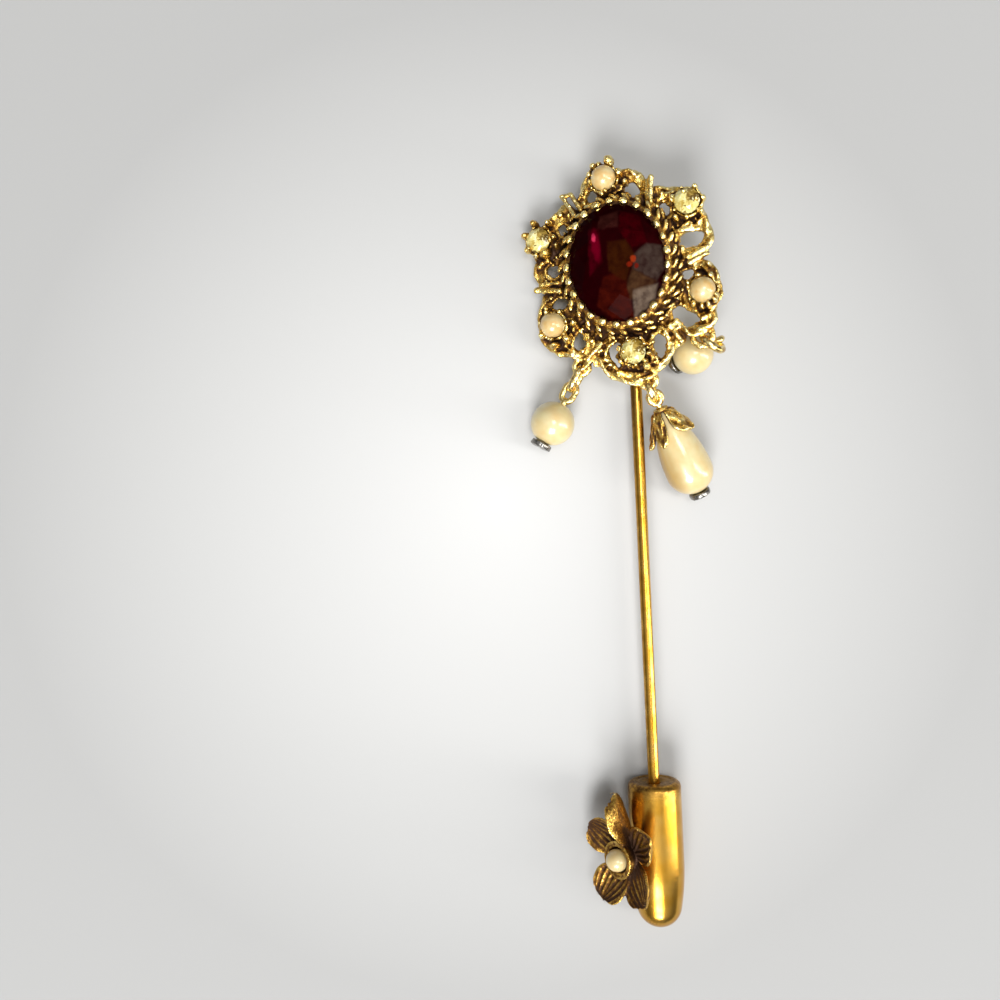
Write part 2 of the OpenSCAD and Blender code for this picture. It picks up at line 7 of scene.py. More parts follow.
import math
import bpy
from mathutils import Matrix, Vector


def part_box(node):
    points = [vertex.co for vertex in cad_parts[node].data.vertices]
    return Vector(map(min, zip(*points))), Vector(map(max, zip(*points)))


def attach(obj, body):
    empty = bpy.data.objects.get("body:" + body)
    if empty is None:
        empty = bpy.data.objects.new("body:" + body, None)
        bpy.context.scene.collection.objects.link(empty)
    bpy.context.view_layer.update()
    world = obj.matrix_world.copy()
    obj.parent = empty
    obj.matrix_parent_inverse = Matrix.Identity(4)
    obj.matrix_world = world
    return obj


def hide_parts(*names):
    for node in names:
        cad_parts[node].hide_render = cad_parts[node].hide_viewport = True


bl_info = {
    "name": "Stick pin finish",
    "version": (1, 0, 0),
    "blender": (4, 5, 0),
    "location": "3D View > Sidebar > Stick Pin",
    "description": "Builds the cast head, stones, pearls, drops, stem and flower guard of a stick pin",
    "category": "Object",
}

import bmesh
import bpy
import numpy as np
from bpy.props import FloatProperty, FloatVectorProperty, IntProperty, PointerProperty
from mathutils import Matrix, Vector

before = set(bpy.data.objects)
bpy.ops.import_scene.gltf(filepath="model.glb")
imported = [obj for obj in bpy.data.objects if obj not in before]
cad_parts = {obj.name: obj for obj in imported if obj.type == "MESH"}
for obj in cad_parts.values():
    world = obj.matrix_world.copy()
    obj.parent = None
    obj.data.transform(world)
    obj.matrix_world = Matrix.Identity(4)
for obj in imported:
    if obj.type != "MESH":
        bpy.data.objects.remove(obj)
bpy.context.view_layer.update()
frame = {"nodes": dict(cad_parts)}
MM = 0.001

# ---------------------------------------------------------------- places


def cad_box(node):
    """Lowest and highest corner of a CAD node, in millimetres."""
    low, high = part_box(node)
    return np.array(low) / MM, np.array(high) / MM


def spin(axis, degrees):
    return Matrix.Rotation(math.radians(degrees), 4, axis)


STEM_LOW, STEM_HIGH = cad_box("stem")
GUARD_LOW, GUARD_HIGH = cad_box("sheath")
STEM_X = (STEM_LOW[0] + STEM_HIGH[0]) / 2
STEM_Z = (STEM_LOW[2] + STEM_HIGH[2]) / 2
SEAT_Y = STEM_HIGH[1]
MOUTH_Y = GUARD_HIGH[1]

# The head leans on the stem and is turned a little in its own plane
HEAD_LEAN = 18.757
HEAD_SPIN = 7.3
HEAD_AT = (STEM_X - 0.941, SEAT_Y + 1.03, 3.130)
HEAD = Matrix.Translation(HEAD_AT) @ spin("Y", -HEAD_LEAN) @ spin("Z", HEAD_SPIN)

# Half axes of the bezel's opening, and the height of its lip
OPEN_A = 3.67
OPEN_B = 4.57
LIP_Z = 2.09

# The six settings: distance from the head's middle, their jewels' radius and
# height, and the angles at which pearls and stones stand
SETTING_AT = 7.3
SMALL_R = 1.025
SMALL_Z = SMALL_R + 0.02
PEARL_ANGLES = (90, -30, -150)
STONE_ANGLES = (30, -90, 150)


def setting_place(angle):
    """Middle of the jewel at an angle round the head."""
    turn = math.radians(angle)
    return (SETTING_AT * math.cos(turn), SETTING_AT * math.sin(turn), SMALL_Z)


def stem_place(x, y, z):
    """A point given from the stem's axis and the middle of the head."""
    return (STEM_X + x, HEAD_AT[1] + y, z)


# The drops: middle of the pearl, or the teardrop's narrow end, and direction
LEFT_R = 1.86
LEFT_AT = stem_place(-7.120, -12.6415, 1.86)
LEFT_ALONG = (-0.51504, -0.85717, -0.00062)
MIDDLE_AT = stem_place(1.80997, -12.0218, 3.30293)
MIDDLE_ALONG = (0.411817, -0.883144, -0.224643)
RIGHT_R = 1.7
RIGHT_AT = stem_place(4.94507, -7.37118, 2.0936)
RIGHT_ALONG = (0.6230, 0.2774, 0.7314)


def axes_from(x_dir, z_hint):
    """Three axes as a matrix: X along x_dir and Z as near z_hint as it can be."""
    x = Vector(x_dir).normalized()
    y = Vector(z_hint).cross(x).normalized()
    return Matrix((x, y, x.cross(y))).transposed()


def drop_matrix(at, along):
    """Stands a turned form at a place with its Z axis along a direction."""
    axes = axes_from(along, (0, 0, 1)) @ Matrix.Rotation(math.pi / 2, 3, "Y")
    return Matrix.Translation(at) @ axes.to_4x4()


MIDDLE_DROP = drop_matrix(MIDDLE_AT, MIDDLE_ALONG)

# ---------------------------------------------------------------- settings


class StickPinHeadSizes(bpy.types.PropertyGroup):
    """Sizes of the cast head's raised work."""

    bead_count: IntProperty(
        name="Lip beads", description="Number of beads round the stone's lip", default=25, min=16, max=40
    )
    bead_length: FloatProperty(
        name="Bead length", description="Length of a lip bead in millimetres", default=0.8, min=0.4, max=1.4
    )
    leaf_count: IntProperty(
        name="Leaf grains",
        description="Number of slanted grains in each outer row",
        default=30, min=16, max=48,
    )
    leaf_length: FloatProperty(
        name="Grain length",
        description="Length of a slanted grain in millimetres",
        default=1.0, min=0.5, max=1.8,
    )
    crumb_count: IntProperty(
        name="Casting lumps",
        description="Number of small lumps scattered over the web",
        default=420, min=0, max=900,
    )
    cast_step: FloatProperty(
        name="Casting fineness",
        description="Size of the smallest detail kept when strands are fused, in millimetres",
        default=0.091, min=0.06, max=0.3,
    )
    cast_grain: FloatProperty(
        name="Casting grain",
        description="Depth of the cast surface's unevenness in millimetres",
        default=0.045, min=0, max=0.1,
    )


class StickPinGuardSizes(bpy.types.PropertyGroup):
    """Sizes of the guard's surface work."""

    vein_count: FloatProperty(
        name="Petal veins", description="Number of veins across half a petal", default=4.2, min=1, max=8
    )
    vein_depth: FloatProperty(
        name="Vein depth",
        description="Height of a petal's veins in millimetres",
        default=0.07, min=0, max=0.15,
    )


class StickPinColours(bpy.types.PropertyGroup):
    """Colours of the metals, pearls and stones."""

    gold_high: FloatVectorProperty(
        name="Rubbed gold", description="Colour of the gold on raised places",
        default=(1.0, 0.84, 0.38), min=0, max=1, subtype="COLOR",
    )
    gold_mid: FloatVectorProperty(
        name="Antique gold", description="Colour of the gold on level places",
        default=(0.66, 0.41, 0.085), min=0, max=1, subtype="COLOR",
    )
    gold_low: FloatVectorProperty(
        name="Recess", description="Colour of the brown patina in recesses",
        default=(0.045, 0.016, 0.004), min=0, max=1, subtype="COLOR",
    )
    gold_smooth: FloatVectorProperty(
        name="Polished gold", description="Colour of the smooth stem and guard",
        default=(0.70, 0.40, 0.075), min=0, max=1, subtype="COLOR",
    )
    pearl_cream: FloatVectorProperty(
        name="Pearl", description="Main colour of the pearls",
        default=(0.54, 0.47, 0.26), min=0, max=1, subtype="COLOR",
    )
    pearl_peach: FloatVectorProperty(
        name="Pearl shade", description="Warmer colour in the pearls",
        default=(0.50, 0.31, 0.10), min=0, max=1, subtype="COLOR",
    )
    topaz: FloatVectorProperty(
        name="Small stones", description="Colour of the small pale stones",
        default=(0.58, 0.50, 0.17), min=0, max=1, subtype="COLOR",
    )


class StickPinStage(bpy.types.PropertyGroup):
    """Camera, floor and lights."""

    camera_height: FloatProperty(
        name="Camera height",
        description="Height of the camera above the floor",
        default=0.085, min=0.03, max=0.5, unit="LENGTH",
    )
    camera_turn: FloatProperty(
        name="Camera turn",
        description="How far the camera is turned clockwise about the vertical",
        default=math.radians(2.6), subtype="ANGLE",
    )
    camera_lens: FloatProperty(
        name="Lens", description="Focal length of the camera in millimetres", default=35.46, min=10, max=200
    )
    floor_colour: FloatVectorProperty(
        name="Floor", description="Colour of the floor below the camera",
        default=(0.50, 0.50, 0.497), min=0, max=1, subtype="COLOR",
    )
    key_power: FloatProperty(
        name="Key light",
        description="Power of the light that throws the soft shadow",
        default=7.6, min=0, max=50,
    )
    room_light: FloatProperty(
        name="Room light", description="Brightness of the room overhead", default=0.5, min=0, max=10
    )


def settings():
    return bpy.context.scene.stick_pin


# ---------------------------------------------------------------- forms


class Form:
    """Points and faces in millimetres, gathered before they become one mesh."""

    def __init__(self, points=(), faces=()):
        self.points = list(points)
        self.faces = list(faces)

    def add(self, points, faces):
        start = len(self.points)
        self.points.extend(points)
        self.faces.extend(tuple(start + i for i in face) for face in faces)

    def add_mesh(self, mesh):
        self.add([tuple(v.co) for v in mesh.vertices], [tuple(p.vertices) for p in mesh.polygons])

    def moved(self, matrix):
        self.points = [tuple(matrix @ Vector(p)) for p in self.points]


def grid_faces(rows, cols, closed=False):
    """Faces of points given row by row; a closed grid joins its last column to its first."""
    return [
        (r * cols + c, r * cols + (c + 1) % cols, (r + 1) * cols + (c + 1) % cols, (r + 1) * cols + c)
        for r in range(rows - 1)
        for c in range(cols if closed else cols - 1)
    ]


def ring_faces(sides, around):
    """Faces of a closed ring of sections, each with its points around it."""
    faces = []
    for s in range(sides):
        here, there = s * around, (s + 1) % sides * around
        for w in range(around):
            n = (w + 1) % around
            faces.append((here + w, there + w, there + n, here + n))
    return faces


def shell_faces(rows, cols, flipped=False):
    """Faces of a thin leaf: its lower skin, its upper skin and the rim; flipped, the upper is first."""
    size = rows * cols
    skin = grid_faces(rows, cols)
    rim = (
        list(range(cols))
        + [r * cols + cols - 1 for r in range(1, rows)]
        + [(rows - 1) * cols + c for c in range(cols - 2, -1, -1)]
        + [r * cols for r in range(rows - 2, 0, -1)]
    )
    faces = [tuple(reversed(face)) for face in skin]
    faces += [tuple(size + i for i in face) for face in skin]
    faces += [(a, b, size + b, size + a) for a, b in zip(rim, rim[1:] + rim[:1])]
    return [tuple(reversed(face)) for face in faces] if flipped else faces


def ball(centre, radii, axes=None, rings=8, sides=14):
    """An ellipsoid with its own axes, poles closed."""
    centre = Vector(centre)
    axes = axes or Matrix.Identity(3)
    wide, deep, high = radii
    shape = []
    for r in range(1, rings):
        tilt = math.pi * r / rings
        for s in range(sides):
            turn = 2 * math.pi * s / sides
            x, y = wide * math.sin(tilt) * math.cos(turn), deep * math.sin(tilt) * math.sin(turn)
            shape.append((x, y, -high * math.cos(tilt)))
    shape += [(0, 0, -high), (0, 0, high)]
    bottom, top = len(shape) - 2, len(shape) - 1
    last = (rings - 2) * sides
    faces = grid_faces(rings - 1, sides, closed=True)
    faces += [(bottom, (s + 1) % sides, s) for s in range(sides)]
    faces += [(top, last + s, last + (s + 1) % sides) for s in range(sides)]
    return [tuple(centre + axes @ Vector(p)) for p in shape], faces


def turned(profile, sides, matrix):
    """A solid of revolution; its profile holds radius and height, and both ends are on the axis."""
    rings = profile[1:-1]
    points = [
        (r * math.cos(2 * math.pi * s / sides), r * math.sin(2 * math.pi * s / sides), z)
        for r, z in rings
        for s in range(sides)
    ]
    points += [(0, 0, profile[0][1]), (0, 0, profile[-1][1])]
    first, final = len(points) - 2, len(points) - 1
    last = (len(rings) - 1) * sides
    faces = grid_faces(len(rings), sides, closed=True)
    faces += [(first, (s + 1) % sides, s) for s in range(sides)]
    faces += [(final, last + s, last + (s + 1) % sides) for s in range(sides)]
    return [tuple(matrix @ Vector(p)) for p in points], faces


def torus(centre, radius, wire):
    """A closed ring of wire, lying flat."""
    centre = Vector(centre)
    sides, around = 28, 10
    points = []
    for s in range(sides):
        turn = 2 * math.pi * s / sides
        for w in range(around):
            roll = 2 * math.pi * w / around
            reach = radius + wire * math.cos(roll)
            local = Vector((reach * math.cos(turn), reach * math.sin(turn), wire * math.sin(roll)))
            points.append(tuple(centre + local))
    return points, ring_faces(sides, around)


def smooth_path(points, step=0.12):
    """Points along a smooth curve through the given ones."""
    given = [Vector(p) for p in points]
    padded = [2 * given[0] - given[1]] + given + [2 * given[-1] - given[-2]]
    out = []
    for i in range(1, len(padded) - 2):
        a, b, c, d = padded[i - 1 : i + 3]
        count = max(2, int((c - b).length / step))
        for k in range(count):
            t = k / count
            bend = 2 * b + (c - a) * t + (2 * a - 5 * b + 4 * c - d) * t * t
            out.append(0.5 * (bend + (3 * b - a - 3 * c + d) * t * t * t))
    return out + [given[-1]]


def mesh_from(form):
    mesh = bpy.data.meshes.new("work")
    mesh.from_pydata(form.points, [], form.faces)
    mesh.update()
    return mesh


def evaluated_mesh(obj):
    """The object's mesh after its modifiers; the object goes."""
    bpy.context.scene.collection.objects.link(obj)
    graph = bpy.context.evaluated_depsgraph_get()
    graph.update()
    mesh = bpy.data.meshes.new_from_object(obj.evaluated_get(graph))
    bpy.data.objects.remove(obj)
    return mesh


def fused(form, step):
    """One closed skin round everything in the form, as metal flows together in a casting."""
    work = bpy.data.objects.new("work", mesh_from(form))
    skin = work.modifiers.new("Skin", "REMESH")
    skin.mode = "VOXEL"
    skin.voxel_size = step
    return evaluated_mesh(work)


def vertex_rows(mesh, name="co"):
    """The place or the normal of each vertex, as the rows of an array."""
    rows = np.empty(len(mesh.vertices) * 3)
    mesh.vertices.foreach_get(name, rows)
    return rows.reshape(-1, 3)


def set_points(mesh, points):
    mesh.vertices.foreach_set("co", points.ravel())
    mesh.update()


def relax(mesh, passes, share):
    """Evens the skin out: each point moves a share of the way to its neighbours' mean."""
    points = vertex_rows(mesh)
    edges = np.empty(len(mesh.edges) * 2, dtype=np.int64)
    mesh.edges.foreach_get("vertices", edges)
    edges = edges.reshape(-1, 2)
    a = np.concatenate([edges[:, 0], edges[:, 1]])
    b = np.concatenate([edges[:, 1], edges[:, 0]])
    count = len(points)
    degree = np.maximum(np.bincount(a, minlength=count), 1)
    for _ in range(passes):
        sums = [np.bincount(a, weights=points[b, i], minlength=count) for i in range(3)]
        points = points + share * (np.stack(sums, 1) / degree[:, None] - points)
    set_points(mesh, points)


def corners(part):
    """The eight corners of a cell, each with its share at points that lie at some part of the cell."""
    for corner in range(8):
        step = np.array([(corner >> k) & 1 for k in range(3)])
        yield step, np.prod(np.where(step, part, 1 - part), axis=1)


def value_noise(points, size, seed):
    """Smooth noise between -1 and 1 over points, with lumps of the given size."""
    p = points / size + seed * 17.31
    cell = np.floor(p).astype(np.int64)
    part = p - cell
    part = part * part * (3 - 2 * part)
    total = np.zeros(len(points))
    for step, weight in corners(part):
        at = cell + step
        code = (at[:, 0] * 73856093 ^ at[:, 1] * 19349663 ^ at[:, 2] * 83492791) & 0xFFFFF
        value = ((code * 1103515245 + 12345) & 0xFFFFF) / 0xFFFFF * 2 - 1
        total += weight * value
    return total


def roughen(mesh, depth, size, seed):
    """Moves the skin in and out a little, as in a hand-finished casting."""
    points = vertex_rows(mesh)
    lift = value_noise(points, size, seed) + 0.5 * value_noise(points, size / 2.3, seed + 1)
    set_points(mesh, points + vertex_rows(mesh, "normal") * (depth * lift)[:, None])


def casting(form, step, passes, share, depth, size, seed):
    """The form as one casting: fused at a step, evened out and roughened to a depth."""
    mesh = fused(form, step)
    relax(mesh, passes, share)
    roughen(mesh, depth, size, seed)
    return mesh


def blurred(grid, passes):
    """The grid smoothed by its neighbours along each axis."""
    for _ in range(passes):
        for axis in range(3):
            grid = (2 * grid + np.roll(grid, 1, axis) + np.roll(grid, -1, axis)) / 4
    return grid


# How far the grid goes on past the metal, in cells, and the two looks at a point's
# surroundings: weight, cell, passes of the blur and distance out along the normal
GRID_MARGIN = 14
LOOKS = ((0.55, 0.09, 4, 0.20), (0.45, 0.2, 3, 0.48))


def crowding(points, normals, others, cell, passes, reach):
    """How much metal stands over each point."""
    low = others.min(axis=0) - GRID_MARGIN * cell
    size = np.ceil((others.max(axis=0) - low) / cell).astype(int) + GRID_MARGIN
    where = np.floor((others - low) / cell).astype(int)
    flat = np.ravel_multi_index(where.T, size)
    filled = (np.bincount(flat, minlength=size.prod()) > 0).astype(np.float32)
    grid = blurred(filled.reshape(size), passes)
    at = (points + normals * reach - low) / cell - 0.5
    base = np.floor(at).astype(int)
    total = np.zeros(len(points))
    for step, share in corners(at - base):
        spot = np.clip(base + step, 0, size - 1)
        total += grid[spot[:, 0], spot[:, 1], spot[:, 2]] * share
    return total


def mark_recesses(meshes):
    """Stores how deep each point of some meshes lies among them: 0 raised, 0.5 level, 1 recessed."""
    clouds = [vertex_rows(mesh) for mesh in meshes]
    others = np.concatenate(clouds)
    for mesh, points in zip(meshes, clouds):
        normals = vertex_rows(mesh, "normal")
        mark = np.zeros(len(points))
        for weight, cell, passes, reach in LOOKS:
            near = crowding(points, normals, others, cell, passes, reach)
            mark += weight * (near - np.median(near)) / max(np.std(near), 1e-6)
        recess = mesh.attributes.new("recess", "FLOAT", "POINT")
        depth = np.clip(0.5 + 0.25 * mark, 0, 1)
        recess.data.foreach_set("value", depth.astype(np.float32))


def paint(mesh, finish):
    mesh.materials.clear()
    mesh.materials.append(finish)


def piece(name, mesh, finish, slot, *nodes, body="pin", sharp=None):
    """Turns a mesh in millimetres into a finished piece that stands for CAD nodes."""
    mesh.transform(Matrix.Scale(MM, 4))
    mesh.name = name
    paint(mesh, finish)
    mesh.shade_smooth()
    if sharp is not None:
        mesh.set_sharp_from_angle(angle=math.radians(sharp))
    obj = bpy.data.objects.new(name, mesh)
    bpy.context.scene.collection.objects.link(obj)
    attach(obj, body)
    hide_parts(*nodes)


# ---------------------------------------------------------------- node trees


class Signal:
    """A socket that takes part in Python arithmetic."""

    def __init__(self, nodes, socket):
        self.nodes = nodes
        self.socket = socket

    def maths(self, operation, *values, clamp=False):
        return self.nodes.node(
            "ShaderNodeMath", {"operation": operation, "use_clamp": clamp}, dict(enumerate(values))
        )

    def __add__(self, other):
        return self.maths("ADD", self, other)

    def __radd__(self, other):
        return self.maths("ADD", other, self)

    def __sub__(self, other):
        return self.maths("SUBTRACT", self, other)

    def __rsub__(self, other):
        return self.maths("SUBTRACT", other, self)

    def __mul__(self, other):
        return self.maths("MULTIPLY", self, other)

    def __rmul__(self, other):
        return self.maths("MULTIPLY", other, self)

    def __pow__(self, other):
        return self.maths("POWER", self, other)

    def clamped(self):
        return self.maths("ADD", self, 0.0, clamp=True)

    def floored(self):
        return self.maths("FLOOR", self)

    def between(self, low, high):
        """0 below low, 1 above high and smooth between."""
        return self.nodes.node(
            "ShaderNodeMapRange",
            {"interpolation_type": "SMOOTHSTEP"},
            {"Value": self, "From Min": low, "From Max": high},
        )


class Nodes:
    """A node tree while it is being put together."""

    def __init__(self, tree):
        self.tree = tree

    def join(self, value, socket):
        """Links a signal to a socket, or gives the socket a value; a colour may leave its alpha out."""
        if isinstance(value, Signal):
            self.tree.links.new(value.socket, socket)
        elif hasattr(value, "__len__"):
            socket.default_value = (*value, 1)[: len(socket.default_value)]
        else:
            socket.default_value = value

    def node(self, kind, made_with=None, values=None, output=0):
        """A new node: its settings, its sockets' values or links, and the output wanted."""
        made = self.tree.nodes.new(kind)
        for name, value in (made_with or {}).items():
            if name == "stops":
                elements = made.color_ramp.elements
                while len(elements) < len(value):
                    elements.new(0.5)
                for element, (position, colour) in zip(elements, value):
                    element.position = position
                    element.color = (*colour, 1)
            else:
                setattr(made, name, value)
        for name, value in (values or {}).items():
            self.join(value, made.inputs[name])
        return Signal(self, made.outputs[output])

    def parts(self, vector):
        """X, Y and Z of a vector."""
        x = self.node("ShaderNodeSeparateXYZ", values={0: vector})
        return [Signal(self, output) for output in x.socket.node.outputs]


class Finish(Nodes):
    """A material while it is being put together."""

    def __init__(self, name, **plain):
        self.material = bpy.data.materials.new(name)
        self.material.use_nodes = True
        super().__init__(self.material.node_tree)
        self.shader = self.tree.nodes["Principled BSDF"]
        self.set(**plain)

    def set(self, **values):
        """Sets the shader's sockets; Base_Color stands for Base Color."""
        for name, value in values.items():
            self.join(value, self.shader.inputs[name.replace("_", " ")])

    def place(self):
        return self.node("ShaderNodeTexCoord", output="Object")

    def noise(self, size, detail, rough=0.5):
        """Noise with lumps of the given size in millimetres."""
        return self.node(
            "ShaderNodeTexNoise",
            values={"Vector": self.place(), "Scale": 1 / (size * MM), "Detail": detail, "Roughness": rough},
        )

    def mix(self, share, first, second):
        """A colour between two colours."""
        return self.node("ShaderNodeMix", {"data_type": "RGBA"}, {0: share, 6: first, 7: second}, 2)

    def ramp(self, value, stops):
        return self.node("ShaderNodeValToRGB", {"stops": stops}, {"Fac": value})

    def bump(self, height, depth):
        """Surface relief of a depth in millimetres."""
        return self.node("ShaderNodeBump", values={"Strength": 1.0, "Distance": depth * MM, "Height": height})

    def turned_place(self, matrix):
        """Places in a piece's own axes, in millimetres, given where those axes stand."""
        back = matrix.inverted()
        x, y, z = self.parts(self.place())
        return [
            x * (back[i][0] / MM) + y * (back[i][1] / MM) + z * (back[i][2] / MM) + back[i][3]
            for i in range(3)
        ]


class NodeForm(Nodes):
    """A Geometry Nodes tree with named inputs, while it is being put together."""

    def __init__(self, name, inputs):
        super().__init__(bpy.data.node_groups.new(name, "GeometryNodeTree"))
        sides = self.tree.interface
        sides.new_socket("Geometry", in_out="INPUT", socket_type="NodeSocketGeometry")
        self.keys = {}
        for label, kind, value in [*inputs, ("Material", "Material", None)]:
            socket = sides.new_socket(label, in_out="INPUT", socket_type="NodeSocket" + kind)
            if value is not None:
                socket.default_value = value
            self.keys[label] = socket.identifier
        sides.new_socket("Geometry", in_out="OUTPUT", socket_type="NodeSocketGeometry")
        self.given = self.tree.nodes.new("NodeGroupInput")

    def input(self, label):
        return Signal(self, self.given.outputs[label])

    def vector(self, **values):
        return self.node("ShaderNodeCombineXYZ", values=values)

    def finish(self, geometry):
        real = self.node("GeometryNodeRealizeInstances", values={"Geometry": geometry})
        painted = self.node(
            "GeometryNodeSetMaterial", values={"Geometry": real, "Material": self.input("Material")}
        )
        result = self.tree.nodes.new("NodeGroupOutput")
        self.join(painted, result.inputs[0])

    def mesh(self, data, **values):
        """The mesh that the tree makes from the given data block and input values."""
        obj = bpy.data.objects.new("work", data)
        modifier = obj.modifiers.new("Form", "NODES")
        modifier.node_group = self.tree
        for label, value in values.items():
            modifier[self.keys[label.replace("_", " ")]] = value
        return evaluated_mesh(obj)


def grain_row_tree():
    """Slanted grains set at even distances round an oval."""
    form = NodeForm(
        "grain_row",
        [
            ("Count", "Int", 28),
            ("Half width", "Float", 4.0),
            ("Half length", "Float", 5.0),
            ("Height", "Float", 1.0),
            ("Grain", "Vector", (1.0, 0.5, 0.5)),
            ("Slant", "Float", 0.4),
            ("Seed", "Int", 3),
        ],
    )
    oval = form.node(
        "GeometryNodeTransform",
        values={
            "Geometry": form.node("GeometryNodeCurvePrimitiveCircle", values={"Resolution": 256}),
            "Scale": form.vector(X=form.input("Half width"), Y=form.input("Half length"), Z=1.0),
            "Translation": form.vector(Z=form.input("Height")),
        },
    )
    even = form.node("GeometryNodeResampleCurve", values={"Curve": oval, "Count": form.input("Count")})
    facing = form.node(
        "FunctionNodeAxesToRotation",
        {"primary_axis": "X", "secondary_axis": "Z"},
        {"Primary Axis": form.node("GeometryNodeInputTangent"), "Secondary Axis": (0.0, 0.0, 1.0)},
    )
    jitter = form.node(
        "FunctionNodeRandomValue",
        {"data_type": "FLOAT"},
        {2: -0.12, 3: 0.12, "Seed": form.input("Seed")},
        output=1,
    )
    roll = form.node(
        "FunctionNodeAxisAngleToRotation",
        values={"Axis": (0.0, 0.0, 1.0), "Angle": form.input("Slant") + jitter},
    )
    slanted = form.node(
        "FunctionNodeRotateRotation", {"rotation_space": "LOCAL"}, {"Rotation": facing, "Rotate By": roll}
    )
    grain = form.node("GeometryNodeMeshIcoSphere", values={"Radius": 0.5, "Subdivisions": 3})
    shaped = form.node("GeometryNodeTransform", values={"Geometry": grain, "Scale": form.input("Grain")})
    spread = form.node(
        "FunctionNodeRandomValue",
        {"data_type": "FLOAT_VECTOR"},
        {0: (0.86, 0.86, 0.9), 1: (1.12, 1.12, 1.08), "Seed": form.input("Seed")},
    )
    form.finish(
        form.node(
            "GeometryNodeInstanceOnPoints",
            values={"Points": even, "Instance": shaped, "Rotation": slanted, "Scale": spread},
        )
    )
    return form


def strand_tree():
    """Two wires wound together along every curve, as thick as the curve's radius says."""
    form = NodeForm(
        "twisted_strand",
        [("Step", "Float", 0.1), ("Twist", "Float", 5.0), ("Apart", "Float", 0.5), ("Sides", "Int", 12)],
    )
    even = form.node(
        "GeometryNodeResampleCurve",
        {"mode": "LENGTH"},
        {"Curve": form.input("Geometry"), "Length": form.input("Step")},
    )
    turn = form.node("GeometryNodeSplineParameter", output="Length") * form.input("Twist")
    tilted = form.node("GeometryNodeSetCurveTilt", values={"Curve": even, "Tilt": turn})
    wire = form.node(
        "GeometryNodeCurvePrimitiveCircle", values={"Radius": 0.6, "Resolution": form.input("Sides")}
    )
    profile = form.node("GeometryNodeJoinGeometry")
    for side in (-1, 1):
        apart = form.vector(X=form.input("Apart") * side)
        moved = form.node("GeometryNodeTransform", values={"Geometry": wire, "Translation": apart})
        form.join(moved, profile.socket.node.inputs[0])
    form.finish(
        form.node(
            "GeometryNodeCurveToMesh",
            values={
                "Curve": tilted,
                "Profile Curve": profile,
                "Scale": form.node("GeometryNodeInputRadius"),
                "Fill Caps": True,
            },
        )
    )
    return form


def strand_curve(paths):
    """A curve with one line for each path; a path holds its points and a radius at each."""
    curve = bpy.data.curves.new("paths", "CURVE")
    curve.dimensions = "3D"
    for points, radii in paths:
        line = curve.splines.new("POLY")
        line.points.add(len(points) - 1)
        for knot, point, radius in zip(line.points, points, radii):
            knot.co = (*point, 1)
            knot.radius = radius
    return curve


# ---------------------------------------------------------------- finishes

# Tones that stay the same whatever the settings say
BROWN_GOLD = (0.20, 0.09, 0.018)
DEEP_GOLD = (0.60, 0.30, 0.025)
# brown of the dirt and of the painted shade on the stem and guard
DIRT_AND_SHADE_BROWN = (0.10, 0.045, 0.012)
LINK_SHADE = (0.36, 0.17, 0.035)
PIN_SHADE = (0.45, 0.24, 0.05)
SILVER = (0.42, 0.40, 0.37)
BLACKENED = (0.06, 0.055, 0.05)
# tan of the painted shade on one side of the teardrop
PEARL_SHADE_TAN = (0.34, 0.22, 0.07)

CAST_GOLD = "cast_antique_gold"


def cast_gold(name=CAST_GOLD, darkening=0.0):
    """Antique gold: bright where it is rubbed and brown with patina in the recesses; painted shade darkens
    the head's left side.
    """
    colour = settings().colours
    gold = Finish(name)
    stain = gold.noise(0.9, 3)
    speck = gold.noise(0.2, 3, rough=0.65)
    # painted shade: the head's left side is made browner, as if in shade
    left_shade = 1 - gold.parts(gold.place())[0].between(-6.6 * MM, -3.6 * MM)
    recess = gold.node("ShaderNodeAttribute", {"attribute_name": "recess"}, output="Fac")
    # patina in the recesses and stains, plus the painted shade on the left
    patina_and_left_shade = (recess + (stain - 0.5) * 0.4 + (speck - 0.5) * 0.6 + left_shade * 0.08 + darkening).clamped()
    stops = [(0.30, colour.gold_high), (0.46, colour.gold_mid), (0.63, BROWN_GOLD), (0.82, colour.gold_low)]
    gold.set(
        Base_Color=gold.ramp(patina_and_left_shade, stops),
        Metallic=1 - patina_and_left_shade.between(0.55, 0.95) * 0.5,
        Roughness=0.20 + patina_and_left_shade.between(0.35, 0.85) * 0.42 + (speck - 0.5) * 0.2,
        Normal=gold.bump(speck + gold.noise(0.45, 2) * 0.8, 0.06),
    )
    return gold.material


def smooth_gold(name, dirt_and_shade):
    """Polished gold with faint rubbing marks; the function given for it says where brown dirt has gathered
    and where painted shade darkens it.
    """
    gold = Finish(name)
    cloud = gold.noise(1.6, 3)
    fine = gold.noise(0.12, 2)
    darkening = dirt_and_shade(gold)
    tint = gold.mix(cloud.between(0.3, 0.7), settings().colours.gold_smooth, DEEP_GOLD)
    gold.set(
        # darkened with brown where there is dirt or painted shade
        Base_Color=gold.mix(darkening, tint, DIRT_AND_SHADE_BROWN),
        Metallic=1.0,
        Roughness=0.2 + (cloud - 0.5) * 0.12 + (fine - 0.5) * 0.08 + darkening * 0.25,
        Normal=gold.bump(fine + gold.noise(0.5, 2) * 0.25, 0.006),
    )
    return gold.material


def stem_dirt_and_shade(gold):
    """Painted shade on the stem's left side, strongest near the head, with the whole stem a little darker
    near the head and random patches of brown dirt.
    """
    x, y, _ = gold.parts(gold.place())
    near = y.between((SEAT_Y - 20) * MM, (SEAT_Y - 2) * MM)
    left_shade = 1 - x.between((STEM_X - 0.3) * MM, (STEM_X + 0.15) * MM)
    # painted shade on the left side, a darkening near the head, and dirt patches
    return (near * 0.2 + left_shade * (0.5 + near * 0.7) + (gold.noise(0.8, 4) - 0.5) * 0.8).clamped() * 0.85


